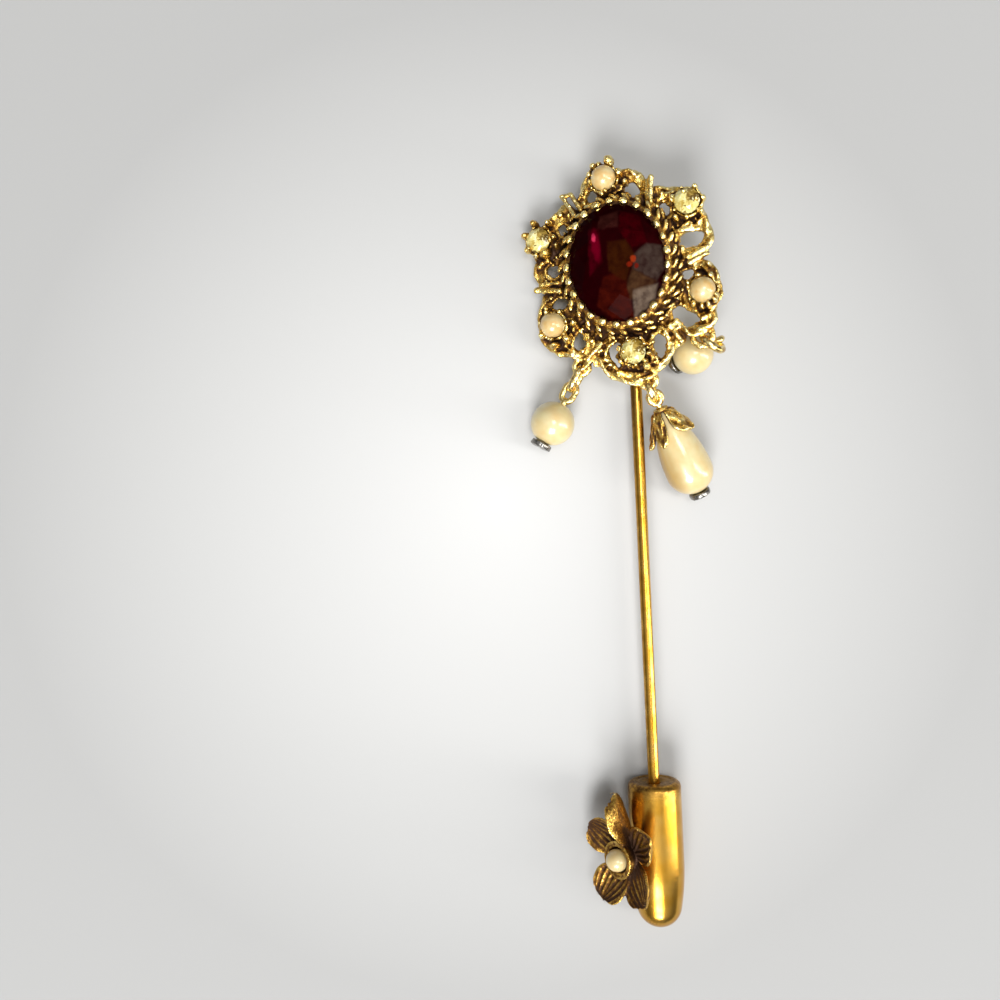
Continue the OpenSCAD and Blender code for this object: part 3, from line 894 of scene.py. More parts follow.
def guard_dirt_and_shade(gold):
    """Dirt round the guard's mouth, and painted shade in patches over its left side."""
    x, y, _ = gold.parts(gold.place())
    mouth = y.between((MOUTH_Y - 1.5) * MM, (MOUTH_Y - 0.1) * MM)
    left_shade = 1 - x.between((STEM_X - 1.2) * MM, (STEM_X + 0.6) * MM)
    rim = mouth * 0.6 + (gold.noise(0.25, 3) - 0.5) * mouth * 1.4
    # the mouth's dirt, and painted shade on the left side with darker patches there
    return (rim + (gold.noise(0.9, 4) - 0.52).clamped() * 1.2 * left_shade + left_shade * 0.15).clamped()


def link_gold():
    """Bright gold wire with darker patches."""
    wire = Finish("link_gold", Metallic=1.0)
    cloud = wire.noise(0.4, 3)
    wire.set(
        Base_Color=wire.mix(cloud.between(0.3, 0.75), settings().colours.gold_high, LINK_SHADE),
        Roughness=0.22 + (cloud - 0.5) * 0.2,
        Normal=wire.bump(wire.noise(0.14, 2), 0.014),
    )
    return wire.material


def pin_finish(name, disc_at, along):
    """Gold wire that ends in a darkened silver disc."""
    metal = Finish(name, Metallic=1.0)
    run = metal.turned_place(drop_matrix(disc_at, along))[2]
    cloud = metal.noise(0.35, 3)
    gold = metal.mix(cloud, settings().colours.gold_high, PIN_SHADE)
    metal.set(
        Base_Color=metal.mix(run.between(-0.5, -0.3), gold, metal.mix(cloud, SILVER, BLACKENED)),
        Roughness=0.24 + (cloud - 0.5) * 0.2,
        Normal=metal.bump(metal.noise(0.12, 2), 0.012),
    )
    return metal.material


def pearl_finish(name, warmth, translucent=0.0, lump=1.1, mottle=1.3, place=None):
    """Pearl lacquer over glass: cream with a warmer tone in it; a place gives it painted shade in tan on one
    side.
    """
    colour = settings().colours
    pearl = Finish(name, Metallic=0.0, IOR=1.5, Coat_Weight=0.7, Coat_Roughness=0.13)
    speck = pearl.noise(0.10, 2)
    shade = ((pearl.noise(lump, 2) - 0.5) * mottle + warmth).clamped()
    tint = pearl.mix(shade, colour.pearl_cream, colour.pearl_peach)
    if place is not None:
        # painted shade: one side turns tan
        side = pearl.turned_place(place)[1]
        tint = pearl.mix(side.between(-2.1, -0.6), PEARL_SHADE_TAN, tint)
    pearl.set(
        Base_Color=tint,
        Roughness=0.34 + (speck - 0.5) * 0.12,
        Subsurface_Weight=translucent,
        Subsurface_Radius=(1.0, 0.8, 0.5),
        Subsurface_Scale=0.0008,
        Normal=pearl.bump(speck, 0.006),
    )
    return pearl.material


# Painted reflections in the small stones' facets: sectors round the crown, how many millimetres a facet would
# shift what is seen through it if it stood upright, and tones of the painted facets from dark to light
CROWN_SECTORS = 7
CROWN_SHIFT = 0.6
TOPAZ_DARK = (0.10, 0.055, 0.008)
TOPAZ_AMBER = (0.36, 0.24, 0.04)
TOPAZ_LIGHT = (0.68, 0.66, 0.42)


def topaz_glass(name, matrix):
    """Pale glass with the light and dark reflections of its facets painted in; the crown facets break up the
    pattern of the facets below them.
    """
    stone = Finish(name, IOR=1.5, Roughness=0.08)
    x, y, _ = stone.turned_place(matrix)
    across = stone.parts(stone.node("ShaderNodeTexCoord", output="Normal"))
    axes = matrix.to_3x3().transposed()
    tilt = [across[0] * i + across[1] * j + across[2] * k for i, j, k in axes[:2]]
    u = (x - tilt[0] * CROWN_SHIFT) * (1 / SMALL_R)
    v = (y - tilt[1] * CROWN_SHIFT) * (1 / SMALL_R)
    reach = (u * u + v * v) ** 0.5
    turn = u.maths("ARCTAN2", v, u) * (CROWN_SECTORS / (2 * math.pi))
    ring = (reach * 3.3 + (turn - turn.floored()) * 0.55).floored()
    sector = (turn + ring * 0.5).floored()
    code = stone.node("ShaderNodeCombineXYZ", values={0: sector, 1: ring, 2: 3.7})
    dice = stone.node("ShaderNodeTexWhiteNoise", values={"Vector": code})
    drift = stone.noise(0.9 * SMALL_R, 1)
    stops = [(0.12, TOPAZ_DARK), (0.34, TOPAZ_AMBER), (0.55, settings().colours.topaz), (0.85, TOPAZ_LIGHT)]
    # painted facet reflections, dark to light
    stone.set(Base_Color=stone.ramp((dice * 0.8 + (drift - 0.35) * 0.55).clamped(), stops))
    return stone.material


# ---------------------------------------------------------------- the cast head

# Strands of the openwork: thickness, height, then points from the head's middle
STRANDS = [
    (0.29, 0.35, [(1.15, 7.52), (1.65, 7.47), (2.17, 7.49), (2.61, 7.11), (2.94, 6.59), (3.24, 5.92),
     (3.3, 5.31), (3.25, 4.57)]),
    (0.25, 0.2, [(0.91, 7.3), (1.49, 7.22), (2.06, 7.06), (2.57, 6.57), (2.88, 5.98), (2.95, 5.37),
     (2.54, 4.97), (1.9, 5.15), (1.36, 5.47)]),
    (0.25, 0.1, [(0.72, 6.35), (1.27, 6.54), (1.75, 6.83), (2.23, 6.7)]),
    (0.29, 0.1, [(-0.2, 8.9), (-0.9, 8.6), (-1.41, 7.98), (-1.89, 7.25), (-2.28, 6.5), (-2.55, 5.96)]),
    (0.25, 0.0, [(-1.14, 7.16), (-1.71, 6.89), (-1.98, 6.36), (-1.82, 5.79), (-1.15, 5.61), (-0.72, 6.1),
     (-0.77, 6.8)]),
    (0.29, 0.0, [(3.7, 5.56), (4.27, 5.48), (4.9, 5.31), (5.52, 5.05), (6.04, 4.74)]),
    (0.27, 0.3, [(3.47, 4.44), (3.98, 4.47), (4.49, 4.58), (5.16, 4.64), (5.61, 4.35)]),
    (0.25, 0.1, [(3.72, 4.17), (3.88, 3.62), (4.28, 3.09), (4.77, 3.05), (5.03, 3.57), (4.89, 4.19)]),
    (0.31, 0.35, [(4.77, 1.4), (5.28, 1.51), (5.86, 1.53), (6.43, 1.54), (6.93, 1.66), (7.25, 2.07)]),
    (0.35, 0.35, [(7.2, 2.6), (7.45, 1.83), (7.55, 1.06), (7.5, 0.43), (7.28, -0.09), (6.84, -0.3),
     (6.27, -0.32), (5.63, -0.24), (5.08, -0.1)]),
    (0.23, 0.2, [(7.05, 1.97), (7.25, 1.34), (7.25, 0.68), (6.97, 0.11), (6.37, -0.07)]),
    (0.29, 0.3, [(5.63, -1.14), (6.2, -1.12), (6.73, -1.34), (7.14, -1.77), (7.44, -2.34), (7.6, -3.13),
     (7.55, -3.86), (7.3, -4.53), (6.9, -5.01), (6.63, -5.6)]),
    (0.25, 0.5, [(5.9, -1.59), (6.52, -1.74), (7.0, -2.27), (7.21, -2.9), (7.24, -3.65), (6.96, -4.32),
     (6.48, -4.78)]),
    (0.25, 0.1, [(5.4, -1.37), (4.9, -1.42), (4.64, -1.94), (4.88, -2.49), (5.42, -2.63), (5.9, -2.25)]),
    (0.29, 0.0, [(4.87, -2.47), (4.67, -3.09), (4.42, -3.61), (4.72, -4.27), (5.33, -5.0), (5.95, -5.64),
     (6.32, -5.81)]),
    (0.37, 0.4, [(6.66, -5.54), (6.71, -6.13), (6.4, -6.55), (5.82, -6.66), (5.23, -6.78), (4.66, -6.81),
     (4.38, -6.5), (4.05, -6.09), (3.66, -5.5)]),
    (0.25, 0.15, [(6.05, -6.1), (5.46, -6.21), (4.87, -6.33), (4.46, -6.31)]),
    (0.27, 0.1, [(2.85, -5.6), (3.24, -6.19), (3.64, -6.78), (3.38, -7.31), (2.9, -7.7)]),
    (0.27, 0.0, [(3.45, -5.39), (3.83, -6.06), (4.14, -6.63), (3.88, -7.16), (3.34, -7.45)]),
    (0.33, 0.3, [(2.1, -5.79), (2.63, -6.08), (2.93, -6.74), (2.97, -7.49), (2.68, -8.18), (2.18, -8.66),
     (1.55, -8.94), (0.99, -8.81)]),
    (0.27, 0.3, [(1.9, -6.0), (1.49, -6.41), (1.22, -7.02), (1.33, -7.8), (1.56, -8.43), (1.9, -8.84)]),
    (0.29, 0.2, [(-1.65, -5.85), (-2.16, -6.33), (-2.38, -7.05), (-2.16, -7.78), (-1.67, -8.4),
     (-0.98, -8.88), (-0.21, -9.3)]),
    (0.33, 0.2, [(-3.32, -7.01), (-2.99, -7.6), (-2.59, -8.28), (-1.93, -8.93), (-1.18, -9.42),
     (-0.39, -9.7), (0.47, -9.65), (1.12, -9.36), (1.55, -8.84)]),
    (0.25, 0.1, [(-1.67, -5.83), (-1.06, -5.8), (-0.49, -5.93)]),
    (0.23, 0.3, [(-3.69, -4.81), (-3.71, -5.4), (-3.83, -6.06), (-3.94, -6.72), (-4.21, -7.26)]),
    (0.25, 0.2, [(-3.35, -5.21), (-3.39, -5.89), (-3.67, -6.51), (-4.04, -7.11), (-4.64, -7.58)]),
    (0.27, 0.45, [(-2.61, -5.76), (-3.04, -6.25), (-3.58, -6.82), (-4.11, -7.38), (-4.72, -7.75)]),
    (0.27, 0.1, [(-2.51, -5.73), (-2.28, -6.38), (-2.48, -7.02), (-3.0, -7.5), (-3.6, -7.45)]),
    (0.25, 0.2, [(-4.94, -4.76), (-5.13, -5.32), (-5.06, -5.94), (-4.61, -6.39), (-4.05, -6.17)]),
    (0.29, 0.1, [(-6.32, -5.91), (-5.67, -6.23), (-5.02, -6.54), (-4.35, -6.77), (-3.83, -6.8)]),
    (0.33, 0.0, [(-6.63, -0.87), (-7.0, -1.48), (-7.34, -2.36), (-7.6, -3.32), (-7.5, -4.31), (-7.15, -5.1),
     (-6.59, -5.75), (-6.12, -6.11)]),
    (0.25, 0.0, [(-6.47, -0.99), (-6.66, -1.56), (-6.42, -2.22), (-5.76, -2.55), (-5.03, -2.47),
     (-4.67, -1.94), (-4.93, -1.36), (-5.68, -1.1)]),
    (0.33, 0.0, [(-6.24, 2.35), (-6.81, 2.15), (-7.11, 1.52), (-6.98, 0.7), (-6.65, 0.01), (-5.89, -0.26)]),
    (0.27, -0.05, [(-6.05, 1.97), (-6.43, 1.36), (-6.21, 0.53), (-5.64, 0.21), (-5.06, 0.5), (-4.85, 1.14),
     (-5.19, 1.75)]),
    (0.35, -0.1, [(-5.46, 4.89), (-5.03, 5.3), (-4.5, 5.77), (-3.83, 6.02), (-3.2, 5.59), (-2.86, 4.98)]),
    (0.23, -0.05, [(-4.81, 4.96), (-4.41, 5.2), (-3.98, 5.09), (-3.88, 4.63), (-3.62, 4.13),
     (-3.89, 3.59)]),
    (0.25, -0.1, [(-4.98, 4.58), (-4.82, 3.93), (-4.45, 3.49), (-3.92, 3.52)]),
    (0.29, -0.05, [(-5.62, 2.38), (-5.03, 2.67), (-4.53, 2.97), (-4.19, 3.41)]),
]

# How a strand's thickness varies: share of it, size of the variation and its seed
STRAND_LUMPS = (0.16, 0.55, 2)

# Raised bars across the notches: thickness, outer end and inner end
BARS = [
    (0.22, (3.79, 6.4, 0.75), (3.36, 3.97, 0.8)),
    (0.17, (3.37, 6.25, 0.55), (3.08, 4.29, 0.7)),
    (0.2, (7.2, -0.31, 0.6), (5.66, -0.72, 0.75)),
    (0.2, (7.12, -0.78, 0.6), (5.66, -1.22, 0.75)),
    (0.17, (-6.83, 0.02, 0.5), (-5.35, -0.17, 0.6)),
    (0.25, (-7.3, -0.35, 0.6), (-5.3, -0.87, 0.7)),
    (0.2, (-3.76, 6.85, 0.6), (-2.95, 4.99, 0.7)),
    (0.2, (-3.01, 6.85, 0.6), (-2.36, 5.34, 0.7)),
    (0.18, (-3.76, 6.85, 0.6), (-3.01, 6.85, 0.6)),
    (0.2, (3.22, -5.85, 0.5), (3.94, -7.2, 0.4)),
    (0.2, (3.77, -5.48, 0.5), (4.52, -6.71, 0.4)),
]

# Prongs and lumps round each setting: place, then half width and half length; all
# have the same middle height and half height
PRONGS = [
    (0.64, 8.60, 0.44, 0.44), (-0.66, 8.42, 0.32, 0.32), (-1.12, 7.21, 0.24, 0.32),
    (1.35, 7.35, 0.24, 0.46), (1.7, 6.49, 0.24, 0.28), (0.03, 6.11, 0.24, 0.24),
    (6.21, 4.35, 0.27, 0.27), (7.10, 3.56, 0.24, 0.29), (7.31, 2.51, 0.22, 0.4),
    (5.15, 3.95, 0.24, 0.32), (5.23, 2.52, 0.27, 0.32),
    (6.21, -2.51, 0.32, 0.24), (6.89, -3.2, 0.24, 0.32), (7.30, -4.34, 0.22, 0.32),
    (7.14, -1.76, 0.2, 0.32), (5.44, -4.62, 0.27, 0.35), (6.6, -4.9, 0.24, 0.4), (5.27, -2.85, 0.2, 0.32),
    (-0.21, -6.38, 0.29, 0.26), (1.03, -6.91, 0.24, 0.24), (-0.77, -7.17, 0.26, 0.26),
    (-0.64, -7.87, 0.27, 0.27), (0.88, -8.71, 0.32, 0.4), (0.09, -8.45, 0.26, 0.24), (1.23, -7.7, 0.23,
     0.24),
    (-4.49, -3.88, 0.32, 0.29), (-5.31, -5.05, 0.37, 0.4), (-7.35, -3.97, 0.18, 0.18),
    (-6.42, -5.35, 0.48, 0.24), (-6.57, -2.19, 0.24, 0.32),
    (-6.44, 5.13, 0.35, 0.32), (-5.23, 4.89, 0.29, 0.27), (-7.38, 4.33, 0.37, 0.32),
    (-7.16, 3.06, 0.27, 0.29), (-5.92, 2.48, 0.56, 0.44), (-5.21, 3.51, 0.23, 0.48), (-4.8, 2.8, 0.26,
     0.29),
]
PRONG_Z = 0.8
PRONG_HIGH = 0.85

# Little rings of wire beside the settings: their places, then their radius, wire and
# height, and the lump each one stands on: height and half sizes
RINGS = [(6.06, 1.85), (1.51, -8.24), (1.04, 6.32), (-4.89, 2.92)]
RING_R = 0.24
RING_WIRE = 0.12
RING_Z = 0.62
RING_FOOT_Z = 0.25
RING_FOOT = (0.36, 0.36, 0.3)

# Openings through the web
OPENINGS = [
    [(1.4, 6.5), (1.8, 6.7), (2.3, 6.6), (2.6, 6.0), (2.7, 5.6), (2.3, 5.4), (1.7, 5.4), (1.4, 5.7)],
    [(-1.6, 6.8), (-1.3, 6.9), (-1.0, 6.6), (-1.0, 6.1), (-1.5, 5.9), (-1.8, 6.0), (-1.9, 6.3)],
    [(-4.8, 4.6), (-4.2, 4.7), (-3.7, 4.6), (-3.9, 4.0), (-4.4, 3.8), (-4.8, 4.2)],
    [(4.0, 4.2), (4.4, 4.3), (4.8, 4.0), (4.8, 3.5), (4.5, 3.1), (4.2, 3.4), (3.9, 3.8)],
    [(5.2, 1.3), (5.9, 1.4), (6.5, 1.4), (7.0, 1.2), (7.1, 0.8), (6.8, 0.3), (6.4, 0.1), (5.6, 0.1),
     (5.1, 0.4), (5.1, 0.8)],
    [(4.9, -1.6), (5.4, -1.5), (5.8, -1.7), (5.7, -2.1), (5.4, -2.5), (4.9, -2.4), (4.8, -2.0)],
    [(3.7, -4.3), (4.2, -4.3), (4.8, -4.7), (5.4, -5.2), (5.8, -5.7), (5.2, -6.0), (4.6, -6.2), (4.1, -6.0),
     (3.6, -5.4), (3.5, -4.7)],
    [(2.0, -6.1), (2.3, -6.1), (2.6, -6.6), (2.5, -7.3), (2.3, -7.9), (2.0, -8.2), (1.7, -7.8), (1.6, -7.1),
     (1.7, -6.4)],
    [(-1.6, -6.1), (-1.2, -6.2), (-1.0, -6.6), (-1.5, -6.9), (-1.7, -7.4), (-1.4, -7.9), (-1.5, -8.2),
     (-2.0, -7.9), (-2.2, -7.3), (-2.2, -6.7), (-2.0, -6.2)],
    [(-4.7, -4.7), (-4.3, -4.6), (-4.0, -5.0), (-4.0, -5.6), (-4.3, -6.1), (-4.7, -6.2), (-5.1, -5.9),
     (-5.1, -5.3)],
    [(-5.9, -1.4), (-5.4, -1.3), (-4.9, -1.6), (-5.0, -2.0), (-5.4, -2.4), (-6.0, -2.2), (-6.4, -1.9)],
    [(-6.0, 1.6), (-5.4, 1.5), (-5.0, 1.2), (-5.1, 0.7), (-5.5, 0.3), (-6.0, 0.6), (-6.3, 1.1)],
]

# The web's edge, seen from the front
WEB_EDGE = [
    (0.54, 8.4), (2.3, 7.3), (3.3, 5.5), (4.9, 5.1), (6.9, 3.7), (7.35, 1.8), (7.3, 0.2), (6.6, -1.0),
    (7.3, -2.6), (7.3, -4.2), (6.5, -6.2), (4.9, -6.6), (3.9, -6.8), (2.7, -8.2), (1.4, -9.0), (0, -9.6),
    (-1.4, -9.1), (-2.7, -7.7), (-3.6, -7.3), (-5.0, -6.6), (-6.5, -5.6), (-7.4, -4.0), (-6.8, -1.2),
    (-6.7, 0.4), (-6.9, 1.9), (-7.3, 3.6), (-6.2, 4.9), (-4.6, 5.6), (-3.0, 5.5), (-2.3, 6.2), (-1.4, 7.9),
]

# The six settings in turn, the depth of their cups, a cup's outline from the middle of
# its underside to its floor, and the lumps round its rim: half width and height
SETTING_ANGLES = [angle for pair in zip(PEARL_ANGLES, STONE_ANGLES) for angle in pair]
CUP_DEPTH = 0.62
CUP_WALL = ((0.12, -CUP_DEPTH), (0.2, 0.2), (0.24, 0.72), (0.02, 0.8), (-0.1, 0.3))
CUP_OUTLINE = [(0, -CUP_DEPTH), *((SMALL_R + out, z) for out, z in CUP_WALL), (0.3, 0.0), (0, 0.0)]
CUP_LUMPS = [(0.26, 1.25), (0.16, 0.95), (0.3, 1.1), (0.18, 1.3), (0.24, 0.9), (0.2, 1.2), (0.28, 1.0)]

# Eyelets for the drops: angle, distance from the head's middle and radius; then their
# wire, and the half sizes of the lump that joins each to the web
EYELETS = [(-122, 8.833, 0.6), (-86.2, 9.75, 0.62), (-52, 9.085, 0.78)]
EYELET_WIRE = 0.29
EYELET_FOOT = (0.42, 0.3, 0.3)

# The socket that holds the stem: where it starts, from the head's middle, then its
# outline as radius and height
SOCKET_Y = -6.2
SOCKET = [(0, 0), (0.82, 0), (0.86, 0.12), (0.86, 6.4), (0.7, 6.6), (0, 6.6)]

# The web's plate: size of its blocks, the blocks looked at, its underside and its top;
# how far it and its crumbs stay clear of the stone's opening
WEB_STEP = 0.15
WEB_COLUMNS = range(-56, 57)
WEB_ROWS = range(-68, 60)
WEB_LOW = -0.33
WEB_HIGH = 0.1
WEB_CLEAR = 0.3
CRUMB_CLEAR = 1.3

# The bezel's section, from its underside round the wall to the floor under the stone:
# distance out from the opening, and height
BEZEL_SIDES = 128
BEZEL_SECTION = [
    (-0.36, -0.4), (1.2, -0.4), (1.22, 0.0), (0.98, 0.45), (0.82, 0.9), (0.72, 1.3),
    (0.62, 1.45), (0.4, 1.5), (0.24, 1.54), (0.12, 1.66), (0.03, 1.7), (0.0, 1.64),
    (0.2, 1.5), (0.2, 1.3), (-0.36, 1.0), (-0.36, 0.06), (-3.6, 0.06), (-3.6, -0.4),
]
# Its rows from the lip outwards: distance out from the opening, height, width and
# thickness of a grain, slant and seed
BEAD_ROW = (0.48, LIP_Z - 0.3, 0.62, 0.72, -0.15, 4)
LEAF_ROWS = ((0.98, 1.12, 0.44, 0.5, -0.62, 7), (1.32, 0.42, 0.46, 0.5, -0.55, 11))

# The lump that closes the middle of that floor: place and half sizes
FLOOR_LUMP_AT = (0, 0, -0.17)
FLOOR_LUMP = (0.6, 1.4, 0.23)

# Fineness at which the smaller castings are fused, in millimetres
BEZEL_STEP = 0.078
WIRE_STEP = 0.055
CAP_STEP = 0.06
FLOWER_STEP = 0.07


def inside(polygon, x, y):
    found = False
    for (x0, y0), (x1, y1) in zip(polygon, polygon[1:] + polygon[:1]):
        if (y0 > y) != (y1 > y) and x < (x1 - x0) * (y - y0) / (y1 - y0) + x0:
            found = not found
    return found


def on_web(x, y, clear, edge, openings):
    """Whether a place is clear of the stone's cup, inside the web's edge and in no opening."""
    if (x / (OPEN_A + clear)) ** 2 + (y / (OPEN_B + clear)) ** 2 < 1:
        return False
    return inside(edge, x, y) and not any(inside(hole, x, y) for hole in openings)


def rounded(outline, step):
    """A flat outline with its corners smoothed."""
    return [tuple(p)[:2] for p in smooth_path([(*p, 0) for p in outline], step)]


def add_web(form):
    """The pierced plate between the strands, as small blocks that the skin rounds off."""
    edge = rounded(WEB_EDGE, 0.5)
    openings = [rounded(hole + hole[:1], 0.4) for hole in OPENINGS]
    cells = set()
    for i in WEB_COLUMNS:
        for j in WEB_ROWS:
            if on_web(i * WEB_STEP, j * WEB_STEP, WEB_CLEAR, edge, openings):
                cells.add((i, j))
    h = WEB_STEP / 2
    square = ((-1, -1), (1, -1), (1, 1), (-1, 1))
    for i, j in cells:
        x, y = i * WEB_STEP, j * WEB_STEP
        faces = [(3, 2, 1, 0), (4, 5, 6, 7)]
        for k, (a, b) in enumerate(((0, -1), (1, 0), (0, 1), (-1, 0))):
            if (i + a, j + b) not in cells:
                n = (k + 1) % 4
                faces.append((k, n, 4 + n, 4 + k))
        form.add([(x + a * h, y + b * h, z) for z in (WEB_LOW, WEB_HIGH) for a, b in square], faces)


def crumbs(count):
    """Small lumps scattered over the web, as a rough casting has them."""
    dice = np.random.default_rng(12)
    found = []
    while len(found) < count:
        x, y = dice.uniform(-7.6, 7.6), dice.uniform(-9.6, 8.4)
        radius = dice.uniform(0.1, 0.24)
        if on_web(x, y, CRUMB_CLEAR, WEB_EDGE, OPENINGS):
            found.append(((x, y, 0.12 + dice.uniform(0, 0.5)), radius))
    return found


class STICKPIN_OT_cast_head(bpy.types.Operator):
    """Casts the openwork of the head: strands, bars, cups, prongs, eyelets and socket"""

    bl_idname = "stick_pin.cast_head"
    bl_label = "Cast head"

    def execute(self, context):
        sizes = settings().head
        gold = cast_gold()
        strands = strand_tree()
        paths = []
        depth, size, seed = STRAND_LUMPS
        for thick, z, points in STRANDS:
            path = smooth_path([(x, y, z) for x, y in points])
            lumps = value_noise(np.array(path), size, seed)
            paths.append((path, [thick * (1 + depth * v) for v in lumps]))
        bars = [((a, b), (thick * 1.6, thick * 1.6)) for thick, a, b in BARS]
        form = Form()
        form.add_mesh(strands.mesh(strand_curve(paths), Step=0.09, Twist=1.5, Apart=0.5, Material=gold))
        form.add_mesh(strands.mesh(strand_curve(bars), Step=0.2, Twist=0.0, Apart=0.04, Material=gold))
        add_web(form)
        for thick, *ends in BARS:
            for end in ends:
                form.add(*ball(end, (1.15 * thick,) * 3))
        for x, y in RINGS:
            form.add(*torus((x, y, RING_Z), RING_R, RING_WIRE))
            form.add(*ball((x, y, RING_FOOT_Z), RING_FOOT))
        for x, y, wide, long in PRONGS:
            form.add(*ball((x, y, PRONG_Z), (wide, long, PRONG_HIGH)))
        for centre, radius in crumbs(sizes.crumb_count):
            form.add(*ball(centre, (radius, radius, radius * 1.2), rings=5, sides=8))
        for angle, reach, radius in EYELETS:
            turn = Matrix.Rotation(math.radians(angle), 3, "Z")
            form.add(*torus(turn @ Vector((reach, 0, 0)), radius, EYELET_WIRE))
            form.add(*ball(turn @ Vector((reach - radius - 0.15, 0, 0)), EYELET_FOOT, turn))
        form.moved(HEAD)
        form.add(*turned(SOCKET, 32, Matrix.Translation(stem_place(0, SOCKET_Y, STEM_Z)) @ spin("X", -90)))
        mesh = casting(form, sizes.cast_step, 2, 0.4, sizes.cast_grain, 0.32, 1)
        piece("head_openwork", mesh, gold, "gold", "head_frame")

        cups = Form()
        for angle in SETTING_ANGLES:
            x, y, _ = setting_place(angle)
            cups.add(*turned(CUP_OUTLINE, 36, Matrix.Translation((x, y, 0))))
            for k, (wide, high) in enumerate(CUP_LUMPS):
                turn = math.radians(360 / len(CUP_LUMPS) * k + angle * 1.7)
                reach = SMALL_R + 0.14 + 0.3 * wide
                at = (x + reach * math.cos(turn), y + reach * math.sin(turn), high - 0.35)
                cups.add(*ball(at, (wide, wide * 1.15, 0.6), rings=6, sides=10))
        cups.moved(HEAD)
        mesh = casting(cups, sizes.cast_step, 2, 0.4, sizes.cast_grain * 0.7, 0.3, 5)
        piece("setting_cups", mesh, gold, "gold", "head_frame")
        return {"FINISHED"}


class STICKPIN_OT_bezel(bpy.types.Operator):
    """Sets rows of beads and slanted grains round the oval stone"""

    bl_idname = "stick_pin.bezel"
    bl_label = "Bezel"

    def execute(self, context):
        sizes = settings().head
        gold = bpy.data.materials[CAST_GOLD]
        rows = grain_row_tree()
        points = []
        for s in range(BEZEL_SIDES):
            turn = 2 * math.pi * s / BEZEL_SIDES
            for out, z in BEZEL_SECTION:
                points.append(((OPEN_A + out) * math.cos(turn), (OPEN_B + out) * math.sin(turn), z))
        form = Form(points, ring_faces(BEZEL_SIDES, len(BEZEL_SECTION)))
        form.add(*ball(FLOOR_LUMP_AT, FLOOR_LUMP))
        grains = [(BEAD_ROW, sizes.bead_count, sizes.bead_length)]
        grains += [(row, sizes.leaf_count, sizes.leaf_length) for row in LEAF_ROWS]
        for (out, height, wide, high, slant, seed), count, long in grains:
            form.add_mesh(
                rows.mesh(
                    bpy.data.meshes.new("anchor"), Count=count, Half_width=OPEN_A + out,
                    Half_length=OPEN_B + out, Height=height, Grain=(long, wide, high),
                    Slant=slant, Seed=seed, Material=gold,
                )
            )
        form.moved(HEAD)
        mesh = casting(form, BEZEL_STEP, 1, 0.4, sizes.cast_grain * 0.6, 0.25, 9)
        piece("stone_bezel", mesh, gold, "gold", "head_frame")
        return {"FINISHED"}


# ---------------------------------------------------------------- stones

# The dark red stone's two deepest tones
GARNET_BLACK = (0.003, 0.0001, 0.0002)
GARNET_RED = (0.013, 0.0002, 0.0008)

# Painted reflections of the facets that stand out in the dark red stone: colour, then corners as shares of
# the half axes
FACET_REFLECTIONS = [
    ((0.026, 0.0, 0.001), [(0.28, 0.86), (0.69, 0.69), (0.79, 0.15), (0.43, 0.12), (0.22, 0.48)]),
    ((0.013, 0.0005, 0.001), [(0.69, 0.69), (0.99, 0.4), (1.04, 0.11), (0.79, 0.15)]),
    ((0.030, 0.0025, 0.001), [(-0.29, -0.25), (0.2, -0.2), (0.21, -0.75), (0.18, -1.05), (-0.26, -1.0),
     (-0.59, -0.71)]),
    ((0.024, 0.0055, 0.001), [(-0.1, 0.34), (0.34, 0.3), (0.48, 0.01), (0.18, -0.44), (-0.15, -0.17)]),
    ((0.030, 0.0, 0.002), [(-0.47, 0.66), (-0.2, 0.62), (-0.24, 0.0), (-0.58, -0.18)]),
    ((0.036, 0.023, 0.018), [(0.47, 0.01), (0.76, 0.16), (1.04, 0.11), (1.03, -0.3), (0.8, -0.51),
     (0.36, -0.22)]),
    ((0.042, 0.019, 0.008), [(0.36, -0.22), (0.8, -0.51), (0.51, -0.67), (0.19, -0.75), (0.2, -0.45)]),
    ((0.105, 0.076, 0.055), [(0.29, -0.6), (0.82, -0.55), (0.68, -0.86), (0.18, -1.05)]),
    ((0.030, 0.0065, 0.005), [(-0.26, 0.6), (-0.18, 0.85), (0.25, 0.87), (0.22, 0.55)]),
]

# Painted glints and red glow deeper in the stone: colour, middle and half size
PAINTED_GLINTS = [
    ((0.085, 0.0, 0.006), (-0.34, 0.33), (0.10, 0.30)),
    ((0.40, 0.02, 0.06), (-0.355, 0.47), (0.05, 0.085)),
    ((0.20, 0.020, 0.004), (0.42, -0.07), (0.07, 0.07)),
    ((0.13, 0.008, 0.002), (0.32, -0.15), (0.07, 0.05)),
    ((0.10, 0.006, 0.002), (0.47, -0.2), (0.05, 0.05)),
]


